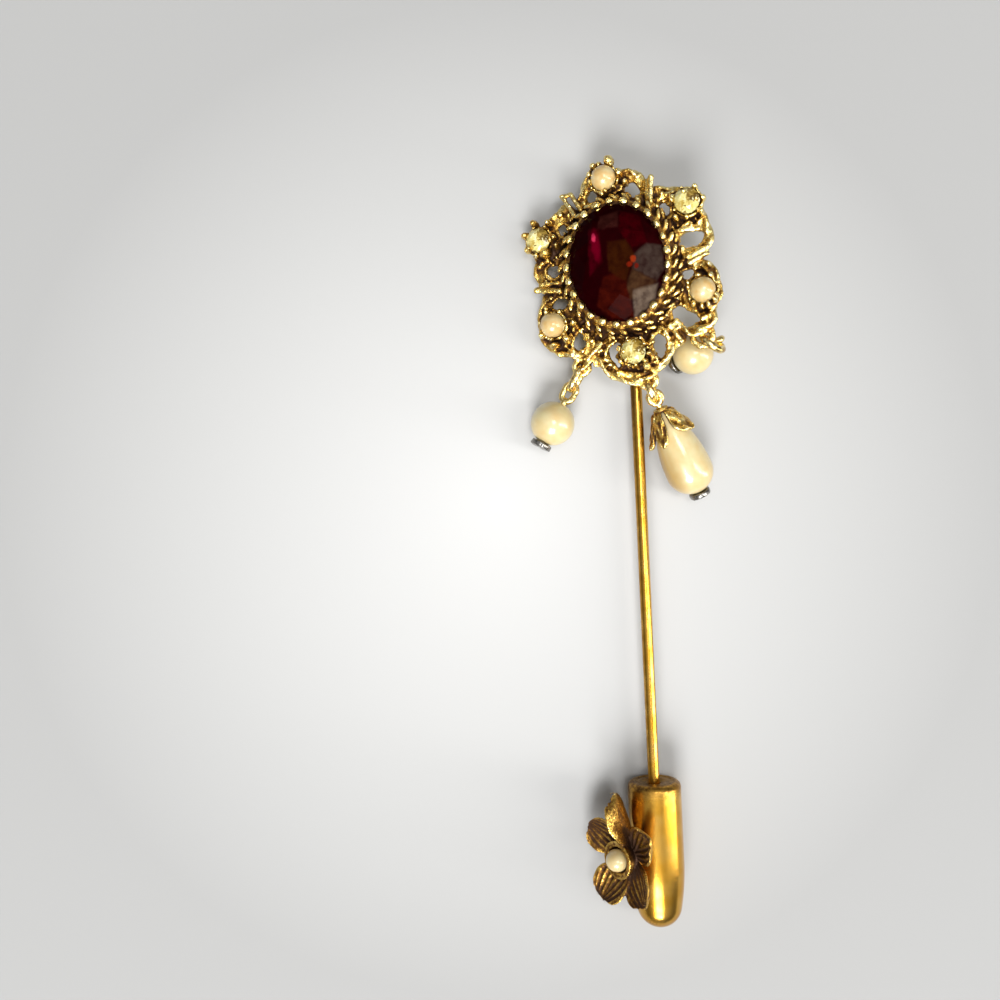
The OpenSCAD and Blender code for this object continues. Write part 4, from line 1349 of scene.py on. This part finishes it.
def garnet_glass():
    """Near-black red glass with painted facet reflections and glints; a facet is the place that lies inside
    all of its outline's sides.
    """
    stone = Finish("garnet_glass", IOR=1.5, Roughness=0.12, Specular_IOR_Level=0.004)
    x, y, _ = stone.turned_place(HEAD)
    cloud = stone.noise(0.6, 2) - 0.5
    u = x * (1 / OPEN_A) + cloud * 0.07
    v = y * (1 / OPEN_B) + cloud * 0.05
    tint = stone.mix(stone.noise(1.2, 2), GARNET_BLACK, GARNET_RED)
    # painted reflections on the facets
    for colour, outline in FACET_REFLECTIONS:
        within = None
        for (u0, v0), (u1, v1) in zip(outline, outline[1:] + outline[:1]):
            long = math.hypot(u1 - u0, v1 - v0)
            side = (v - v0) * ((u0 - u1) / long) + (u - u0) * ((v1 - v0) / long)
            within = side if within is None else side.maths("MINIMUM", side, within)
        share = within.between(-0.03, 0.04) * (0.68 + cloud * 1.8)
        tint = stone.mix(share.clamped(), tint, colour)
    # painted glints and glow
    for colour, middle, half in PAINTED_GLINTS:
        away = ((u - middle[0]) * (1 / half[0])) ** 2 + ((v - middle[1]) * (1 / half[1])) ** 2
        tint = stone.mix((1 - away.between(0.1, 1.5)) * 0.9, tint, colour)
    stone.set(Base_Color=tint)
    return stone.material


class STICKPIN_OT_stones(bpy.types.Operator):
    """Finishes the oval stone and the three small pale stones"""

    bl_idname = "stick_pin.stones"
    bl_label = "Stones"

    def execute(self, context):
        nodes = frame["nodes"]
        paint(nodes["centre_stone"].data, garnet_glass())
        for i, angle in enumerate(STONE_ANGLES, 1):
            place = HEAD @ Matrix.Translation(setting_place(angle))
            paint(nodes["setting_stone_%d" % i].data, topaz_glass("topaz_glass_%d" % i, place))
        return {"FINISHED"}


# ---------------------------------------------------------------- pearls

# The teardrop: radius of its round end, length, radius of its narrow end, radius of
# its long sides, and where their centre lies across and along it
TEAR_R = 2.0
TEAR_LEN = 7.8
TEAR_TOP_R = 0.8
TEAR_FLANK = 12.0
TEAR_CENTRE = (-10.0, 5.844)
TEAR_STEPS = 48

# How far a drop pearl dips in at its drilled ends
DIMPLE = 0.05


def pearl_mesh(centre, radius, seed, along=(0, 0, 1), dimple=0.0):
    """A slightly uneven sphere whose drilled ends dip in a little."""
    axes = axes_from(along, (0.3, 0.2, 0.9)) @ Matrix.Rotation(math.pi / 2, 3, "Y")
    mesh = mesh_from(Form(*ball(centre, (radius,) * 3, axes, rings=40, sides=64)))
    points = vertex_rows(mesh)
    away = points - np.array(centre)
    unit = away / np.linalg.norm(away, axis=1)[:, None]
    polar = np.abs(unit @ np.array(axes.col[2]))
    lift = np.minimum(0.006 * radius * value_noise(points, radius * 0.7, seed), 0)
    lift = lift - dimple * np.clip((polar - 0.93) / 0.07, 0, 1) ** 2
    set_points(mesh, points + unit * lift[:, None])
    return mesh


def tear_radius(t):
    """Radius of the teardrop at a distance from its narrow end."""
    wide = TEAR_LEN - TEAR_R
    top_end = TEAR_TOP_R - (TEAR_CENTRE[1] - TEAR_TOP_R) * TEAR_TOP_R / (TEAR_FLANK - TEAR_TOP_R)
    low_start = wide + (wide - TEAR_CENTRE[1]) * TEAR_R / (TEAR_FLANK - TEAR_R)
    if t < top_end:
        return math.sqrt(max(0, TEAR_TOP_R**2 - (t - TEAR_TOP_R) ** 2))
    if t < low_start:
        return TEAR_CENTRE[0] + math.sqrt(TEAR_FLANK**2 - (t - TEAR_CENTRE[1]) ** 2)
    return math.sqrt(max(0, TEAR_R**2 - (t - wide) ** 2))


class STICKPIN_OT_pearls(bpy.types.Operator):
    """Makes the pearls in the settings, the drops and the flower"""

    bl_idname = "stick_pin.pearls"
    bl_label = "Pearls"

    def execute(self, context):
        small = pearl_finish("setting_pearl", 0.6, lump=0.7, mottle=2.4)
        for i, angle in enumerate(PEARL_ANGLES):
            mesh = pearl_mesh(HEAD @ Vector(setting_place(angle)), SMALL_R, i)
            piece("round_pearl_%d" % (i + 1), mesh, small, "pearl", "setting_pearl_%d" % (i + 1))
        cream = pearl_finish("drop_pearl", 0.25, 0.15)
        mesh = pearl_mesh(LEFT_AT, LEFT_R, 5, LEFT_ALONG, DIMPLE)
        piece("left_drop_pearl", mesh, cream, "pearl", "left_pearl")
        mesh = pearl_mesh(RIGHT_AT, RIGHT_R, 6, RIGHT_ALONG, DIMPLE)
        piece("right_drop_pearl", mesh, cream, "pearl", "right_pearl")

        # The teardrop stays a hair inside its solid
        profile = [(0, 0)]
        for i in range(1, TEAR_STEPS):
            t = TEAR_LEN * (1 - math.cos(math.pi * i / TEAR_STEPS)) / 2
            profile.append((tear_radius(t) * 0.999, t))
        mesh = mesh_from(Form(*turned([*profile, (0, TEAR_LEN)], 72, MIDDLE_DROP)))
        roughen(mesh, 0.004, 0.5, 3)
        # the teardrop gets painted shade in tan on one side
        tear = pearl_finish("teardrop_pearl", 0.35, 0.1, mottle=1.2, place=MIDDLE_DROP)
        piece("teardrop_pearl", mesh, tear, "pearl", "middle_pearl")

        low, high = cad_box("flower_pearl")
        mesh = pearl_mesh((low + high) / 2, (high - low)[0] / 2, 9)
        finish = pearl_finish("flower_pearl", 0.4)
        piece("flower_round_pearl", mesh, finish, "pearl", "flower_pearl", body="guard")
        return {"FINISHED"}


# ---------------------------------------------------------------- drops

# Leaves of the teardrop's cap: angle round it, half width in degrees, length and
# stand-off; then rows and columns of a leaf's points, and its thickness
CAP_LEAVES = [
    (132, 50, 2.2, 0.25),
    (222, 22, 2.6, 0.15),
    (268, 22, 2.6, 0.3),
    (325, 30, 2.4, 0.25),
    (40, 30, 2.3, 0.25),
]
CAP_ROWS = 24
CAP_COLS = 19
CAP_THICK = 0.2

# How much thicker the wires are than their solids, and how far a head pin's disc stands
# out from its pearl
LINK_MORE = 0.09
PIN_MORE = 0.06
DISC_OUT = 0.3


def thickened(node, more, seed):
    """A node's wire with its surface moved outwards and roughened, in millimetres."""
    copy = frame["nodes"][node].data.copy()
    copy.transform(Matrix.Scale(1 / MM, 4))
    build = bmesh.new()
    build.from_mesh(copy)
    bmesh.ops.remove_doubles(build, verts=build.verts, dist=0.0005)
    build.to_mesh(copy)
    build.free()
    form = Form()
    form.add_mesh(copy)
    mesh = fused(form, WIRE_STEP)
    relax(mesh, 2, 0.4)
    set_points(mesh, vertex_rows(mesh) + vertex_rows(mesh, "normal") * more)
    roughen(mesh, 0.03, 0.3, seed)
    return mesh


def cap_leaf(middle, spread, long, lift):
    """Points of a leaf that lies round the teardrop: its smooth inner and its scrolled outer skin."""
    points = []
    for out in (0.0, CAP_THICK):
        for r in range(CAP_ROWS):
            u = r / (CAP_ROWS - 1)
            taper = 1 if u < 0.35 else math.sqrt(max(0.02, 1 - ((u - 0.35) / 0.65) ** 2))
            half = math.radians(spread) * taper
            for c in range(CAP_COLS):
                v = 2 * c / (CAP_COLS - 1) - 1
                t = 0.12 + long * u
                rim = 0.14 * math.exp(-((max(abs(v), u) - 0.9) / 0.1) ** 2)
                rib = 0.1 * math.exp(-(((abs(v) - 0.35) / 0.14) ** 2))
                scroll = 0.09 * math.cos(11 * u + 6 * abs(v))
                raised = rim + rib + scroll if out else 0
                radius = tear_radius(t) + 0.06 + out + raised * 0.8 + lift * u**2
                angle = math.radians(middle) + half * v
                along = t - (1 - u) * 0.1 * out
                points.append((radius * math.cos(angle), radius * math.sin(angle), along))
    return points


class STICKPIN_OT_drops(bpy.types.Operator):
    """Finishes the links and head pins and makes the leafy cap of the teardrop"""

    bl_idname = "stick_pin.drops"
    bl_label = "Drops"

    def execute(self, context):
        wire = link_gold()
        for i, node in enumerate(("left_link", "middle_link", "right_link")):
            piece(node + "_wire", thickened(node, LINK_MORE, 40 + i), wire, "gold", node)
        for node, at, along, reach in (
            ("left_head_pin", LEFT_AT, LEFT_ALONG, LEFT_R),
            ("middle_head_pin", MIDDLE_AT, MIDDLE_ALONG, TEAR_LEN),
            ("right_head_pin", RIGHT_AT, [-v for v in RIGHT_ALONG], RIGHT_R),
        ):
            finish = pin_finish(node + "_metal", Vector(at) + Vector(along) * (reach + DISC_OUT), along)
            piece(node + "_wire", thickened(node, PIN_MORE, 50), finish, "gold", node)

        cap = Form()
        for leaf in CAP_LEAVES:
            cap.add(cap_leaf(*leaf), shell_faces(CAP_ROWS, CAP_COLS))
        cap.add(*torus((0, 0, -0.02), 0.5, 0.16))
        cap.moved(MIDDLE_DROP)
        mesh = casting(cap, CAP_STEP, 1, 0.4, 0.015, 0.25, 21)
        piece("teardrop_cap", mesh, bpy.data.materials[CAST_GOLD], "gold", "middle_bead_cap")
        return {"FINISHED"}


# ---------------------------------------------------------------- stem and guard

# The stem from its seat to its point: distance down from just above the seat, and radius
STEM_TOP = SEAT_Y + 0.03
STEM_OUTLINE = [(0.03, 0.5), (21, 0.475), (41.8, 0.475), (45.6, 0.451), (51.45, 0.09), (51.6, 0.05)]

# The guard's barrel: radius, radius of its rolled mouth, length and depth of its
# taper, radius and depth of its bore
BARREL_R = 2.225
MOUTH_R = 0.48
TAPER_LEN = 3.9
TAPER_DROP = 0.36
BORE_R = 0.525
BORE_DEPTH = 3.2

# The flower: how far it leans to the left, distance from the mouth, height of its base
# over the stem's axis, then a petal's length, width and thickness
FLOWER_LEAN = 54
FLOWER_FROM_MOUTH = 5.6
FLOWER_BASE = BARREL_R + 0.85
PETAL_LEN = 4.4
PETAL_W = 3.3
PETAL_T = 0.3
PETAL_ROWS = 56
PETAL_COLS = 61

# Petals: angle round the flower, rise, share of the length, and twist
PETALS = [(36, 10, 0.98, 0), (89, 13, 1.26, -58), (148, 14, 1.0, 0), (240, 15, 1.04, 0), (306, 9, 0.97, 0)]

# A petal is drawn from a share of its length near the middle to its tip
PETAL_FOOT = 0.1
PETAL_REACH = 0.905

# The solder under the flower, and the pearl cup's wavy rim and inside: radius and height
SOLDER = [(0, -1.2), (0.95, -1.2), (0.9, -0.3), (0.95, 0.25), (0, 0.3)]
CUP_R = 1.5
CUP_RIM = [
    (1.56, 1.42), (1.5, 1.52), (1.36, 1.5), (1.28, 1.42), (1.17, 1.46), (1.06, 1.36),
    (0.98, 1.0), (0.8, 0.75), (0, 0.6),
]


class STICKPIN_OT_stem(bpy.types.Operator):
    """Draws the stem's wire down to its ground point"""

    bl_idname = "stick_pin.stem"
    bl_label = "Stem"

    def execute(self, context):
        profile = [(0, STEM_OUTLINE[0][0])]
        for (a, ra), (b, rb) in zip(STEM_OUTLINE, STEM_OUTLINE[1:]):
            count = max(2, int((b - a) / 0.6))
            profile += [(ra + k / count * (rb - ra), a + k / count * (b - a)) for k in range(count)]
        end, end_r = STEM_OUTLINE[-1]
        profile += [(end_r, end), (0, end)]
        matrix = Matrix.Translation((STEM_X, STEM_TOP, STEM_Z)) @ spin("X", 90)
        mesh = mesh_from(Form(*turned(profile, 40, matrix)))
        piece("stem_wire", mesh, smooth_gold("stem_gold", stem_dirt_and_shade), "gold", "stem", sharp=60)
        return {"FINISHED"}


def barrel_outline():
    """The barrel from its bore round the rolled mouth to its nose: radius and distance from the mouth."""
    length = MOUTH_Y - GUARD_LOW[1]
    flank = (TAPER_LEN**2 + TAPER_DROP**2) / (2 * TAPER_DROP)
    lean = math.asin(TAPER_LEN / flank)
    nose_r = (BARREL_R - TAPER_DROP) / math.cos(lean)
    nose_z = length - nose_r
    taper_end = nose_z + nose_r * math.sin(lean)
    taper_z = taper_end - TAPER_LEN
    outline = [(0, BORE_DEPTH), (BORE_R, BORE_DEPTH), (BORE_R, 0.3), (BORE_R + 0.12, 0.16)]
    outline.append((BARREL_R - 2 * MOUTH_R + 0.1, 0.06))
    outline += [
        (BARREL_R - MOUTH_R - MOUTH_R * math.cos(a), MOUTH_R - MOUTH_R * math.sin(a))
        for a in np.linspace(math.radians(55), math.radians(180), 14)
    ]
    outline += [(BARREL_R, z) for z in np.linspace(MOUTH_R + 0.2, taper_z, 12)]
    outline += [
        (BARREL_R - flank + math.sqrt(flank**2 - (z - taper_z) ** 2), z)
        for z in np.linspace(taper_z, taper_end, 16)[1:]
    ]
    outline += [
        (nose_r * math.cos(a), nose_z + nose_r * math.sin(a))
        for a in np.linspace(lean, math.pi / 2, 18)[1:-1]
    ]
    return [*outline, (0, length)]


def petal_half_width(t):
    """Half width of a petal, as a share of its greatest, at a share of its length."""
    if t < 0.66:
        return 0.3 + 0.7 * math.sin(math.pi / 2 * max(0, t - 0.1) / 0.56) ** 1.3
    return max(0, 1 - ((t - 0.66) / 0.345) ** 2.4) ** (1 / 2.2)


def petal_points(sizes, fanned, turn):
    """Points of a petal's upper and lower skin, which meet in a rounded rim."""
    points = []
    for side in (1, -1):
        for r in range(PETAL_ROWS):
            t = PETAL_FOOT + PETAL_REACH * math.sin(math.pi / 2 * r / (PETAL_ROWS - 1))
            wide = petal_half_width(t)
            for c in range(PETAL_COLS):
                v = math.sin(math.pi / 2 * (2 * c / (PETAL_COLS - 1) - 1))
                rim = math.sqrt(max(0, 1 - max(abs(v), (t - PETAL_FOOT) / PETAL_REACH) ** 10))
                sway = 0.5 * t if fanned else 0.06 * math.sin(5 * t)
                phase = sizes.vein_count * 2 * math.pi * (abs(v) * (0.6 + 0.4 * t) - sway)
                vein = sizes.vein_depth * math.cos(phase)
                vein *= min(1, (t - PETAL_FOOT) * 5) * min(1, 3.5 * (1 - abs(v)))
                edge = 0.07 * math.exp(-(((abs(v) - 0.93) / 0.06) ** 2)) * t
                z = 0.55 * (v * v * min(1, 1.6 * t) ** 2 * 0.9 + 0.5 * t * t) - PETAL_T / 2
                z += side * PETAL_T / 2 * rim + ((vein + edge) * rim if side > 0 else 0)
                at = (PETAL_LEN * t * (1 - 0.05 * v * v), wide * v * PETAL_W / 2, z)
                points.append(tuple(turn @ Vector(at)))
    return points


class STICKPIN_OT_guard(bpy.types.Operator):
    """Turns the guard's barrel and makes its five-petal flower and pearl cup"""

    bl_idname = "stick_pin.guard"
    bl_label = "Guard"

    def execute(self, context):
        matrix = Matrix.Translation((STEM_X, MOUTH_Y, STEM_Z)) @ spin("X", 90)
        mesh = mesh_from(Form(*turned(barrel_outline(), 96, matrix)))
        finish = smooth_gold("guard_gold", guard_dirt_and_shade)
        piece("guard_barrel", mesh, finish, "gold", "sheath", body="guard")

        gold = cast_gold("flower_antique_gold", 0.11)
        place = (
            Matrix.Translation((STEM_X, MOUTH_Y - FLOWER_FROM_MOUTH, STEM_Z))
            @ spin("Y", -FLOWER_LEAN)
            @ Matrix.Translation((0, 0, FLOWER_BASE))
        )
        flower = Form()
        for k, (angle, rise, share, twist) in enumerate(PETALS):
            turn = place @ spin("Z", angle) @ spin("Y", -rise) @ spin("X", twist) @ Matrix.Scale(share, 4)
            points = petal_points(settings().guard, k == 0, turn)
            flower.add(points, shell_faces(PETAL_ROWS, PETAL_COLS, flipped=True))
        flower.add(*turned(SOLDER, 40, place))
        bowl = [
            (CUP_R * math.sin(a), CUP_R - CUP_R * math.cos(a))
            for a in np.linspace(0.25, math.pi / 2 - 0.1, 12)
        ]
        flower.add(*turned([(0, 0.0), *bowl, *CUP_RIM], 64, place))
        mesh = casting(flower, FLOWER_STEP, 1, 0.3, 0.012, 0.3, 31)
        piece("guard_flower", mesh, gold, "gold", "sheath", body="guard")
        return {"FINISHED"}


class STICKPIN_OT_patina(bpy.types.Operator):
    """Lets brown patina settle in the recesses of the castings"""

    bl_idname = "stick_pin.patina"
    bl_label = "Patina"

    def execute(self, context):
        for names in (("head_openwork", "setting_cups", "stone_bezel"), ("teardrop_cap",), ("guard_flower",)):
            meshes = [bpy.data.objects[name].data for name in names]
            for mesh in meshes:
                mesh.transform(Matrix.Scale(1 / MM, 4))
            mark_recesses(meshes)
            for mesh in meshes:
                mesh.transform(Matrix.Scale(MM, 4))
        return {"FINISHED"}


# ---------------------------------------------------------------- stage

# Lights: place and size in metres, share of the key light's power, and colour
LIGHTS = {
    "key": ((-0.10, -0.52, 0.50), (0.34, 0.34), 1, (1, 1, 1)),
    "right_strip": ((0.60, -0.16, 0.38), (0.14, 0.8), 0.5, (1.0, 0.98, 0.94)),
    "top": ((0.05, 0.03, 0.80), (0.24, 0.24), 0.28, (1, 1, 1)),
}

# Painted light on the floor: its colour darkens from below the camera outwards, as light falls off; distance
# in millimetres and share left
FLOOR_LIGHT_FALLOFF = 43
FLOOR_SHADE_SHARE = 0.62

# Below the camera, from the stem's axis and the guard's nose, in millimetres
CAMERA_X = STEM_X - 11.85
CAMERA_Y = GUARD_LOW[1] + 36.31


def area_light(name, at, size, power, colour):
    """A rectangular light that looks at the middle of the scene."""
    light = bpy.data.lights.new(name, "AREA")
    light.shape = "RECTANGLE"
    light.size, light.size_y = size
    light.energy = power
    light.color = colour
    obj = bpy.data.objects.new(name, light)
    obj.location = at
    obj.rotation_mode = "QUATERNION"
    obj.rotation_quaternion = (-Vector(at)).to_track_quat("-Z", "Y")
    bpy.context.scene.collection.objects.link(obj)


class STICKPIN_OT_stage(bpy.types.Operator):
    """Sets up the floor, the soft lights and the camera above the pin"""

    bl_idname = "stick_pin.stage"
    bl_label = "Stage"

    def execute(self, context):
        scene = context.scene
        stage = settings().stage
        mesh = bpy.data.meshes.new("floor")
        build = bmesh.new()
        bmesh.ops.create_grid(build, x_segments=8, y_segments=8, size=1.5)
        build.to_mesh(mesh)
        build.free()
        floor = bpy.data.objects.new("floor", mesh)
        scene.collection.objects.link(floor)
        paper = Finish("floor_paper", Roughness=0.85, Specular_IOR_Level=0.2)
        x, y, _ = paper.parts(paper.place())
        # painted light: the floor's colour darkens away from below the camera
        reach = ((x - CAMERA_X * MM) ** 2 + (y - CAMERA_Y * MM) ** 2) ** 0.5 * (1 / (FLOOR_LIGHT_FALLOFF * MM))
        shaded_floor = [FLOOR_SHADE_SHARE * v for v in stage.floor_colour]
        paper.set(Base_Color=paper.mix(reach.clamped(), stage.floor_colour, shaded_floor))
        mesh.materials.append(paper.material)

        scene.world = bpy.data.worlds.new("room")
        scene.world.use_nodes = True
        room = Nodes(scene.world.node_tree)
        sky = room.tree.nodes["Background"]
        glow = room.parts(room.node("ShaderNodeTexCoord", output="Generated"))[2].between(0.25, 0.85)
        room.join(glow * stage.room_light + stage.room_light * 0.3, sky.inputs["Strength"])
        room.join((1.0, 1.0, 0.98), sky.inputs["Color"])
        scene.view_settings.view_transform = "Standard"
        for name, (at, size, share, colour) in LIGHTS.items():
            area_light(name, at, size, stage.key_power * share, colour)

        camera = bpy.data.objects.new("camera", bpy.data.cameras.new("camera"))
        scene.collection.objects.link(camera)
        above = Vector((CAMERA_X, CAMERA_Y, stage.camera_height / MM)) * MM
        camera.matrix_world = Matrix.Translation(above) @ Matrix.Rotation(-stage.camera_turn, 4, "Z")
        camera.data.sensor_width = 36
        camera.data.lens = stage.camera_lens
        camera.data.clip_start = 0.002
        scene.camera = camera
        return {"FINISHED"}


# ---------------------------------------------------------------- add-on


class StickPinSettings(bpy.types.PropertyGroup):
    """All settings of the stick pin."""

    head: PointerProperty(type=StickPinHeadSizes)
    guard: PointerProperty(type=StickPinGuardSizes)
    colours: PointerProperty(type=StickPinColours)
    stage: PointerProperty(type=StickPinStage)


STEPS = ("stage", "cast_head", "bezel", "stones", "pearls", "drops", "stem", "guard", "patina")


class STICKPIN_PT_panel(bpy.types.Panel):
    """Settings and steps of the stick pin"""

    bl_label = "Stick Pin"
    bl_idname = "STICKPIN_PT_panel"
    bl_space_type = "VIEW_3D"
    bl_region_type = "UI"
    bl_category = "Stick Pin"

    def draw(self, context):
        layout = self.layout
        for group in (settings().head, settings().guard, settings().colours, settings().stage):
            box = layout.box()
            for name in group.__annotations__:
                box.prop(group, name)
        for step in STEPS:
            layout.operator("stick_pin." + step)


CLASSES = (
    StickPinHeadSizes,
    StickPinGuardSizes,
    StickPinColours,
    StickPinStage,
    StickPinSettings,
    STICKPIN_OT_stage,
    STICKPIN_OT_cast_head,
    STICKPIN_OT_bezel,
    STICKPIN_OT_stones,
    STICKPIN_OT_pearls,
    STICKPIN_OT_drops,
    STICKPIN_OT_stem,
    STICKPIN_OT_guard,
    STICKPIN_OT_patina,
    STICKPIN_PT_panel,
)


def register():
    for cls in CLASSES:
        bpy.utils.register_class(cls)
    bpy.types.Scene.stick_pin = PointerProperty(type=StickPinSettings)


def unregister():
    del bpy.types.Scene.stick_pin
    for cls in reversed(CLASSES):
        bpy.utils.unregister_class(cls)


def main():
    register()
    for step in STEPS:
        getattr(bpy.ops.stick_pin, step)()


if __name__ == "__main__":
    main()
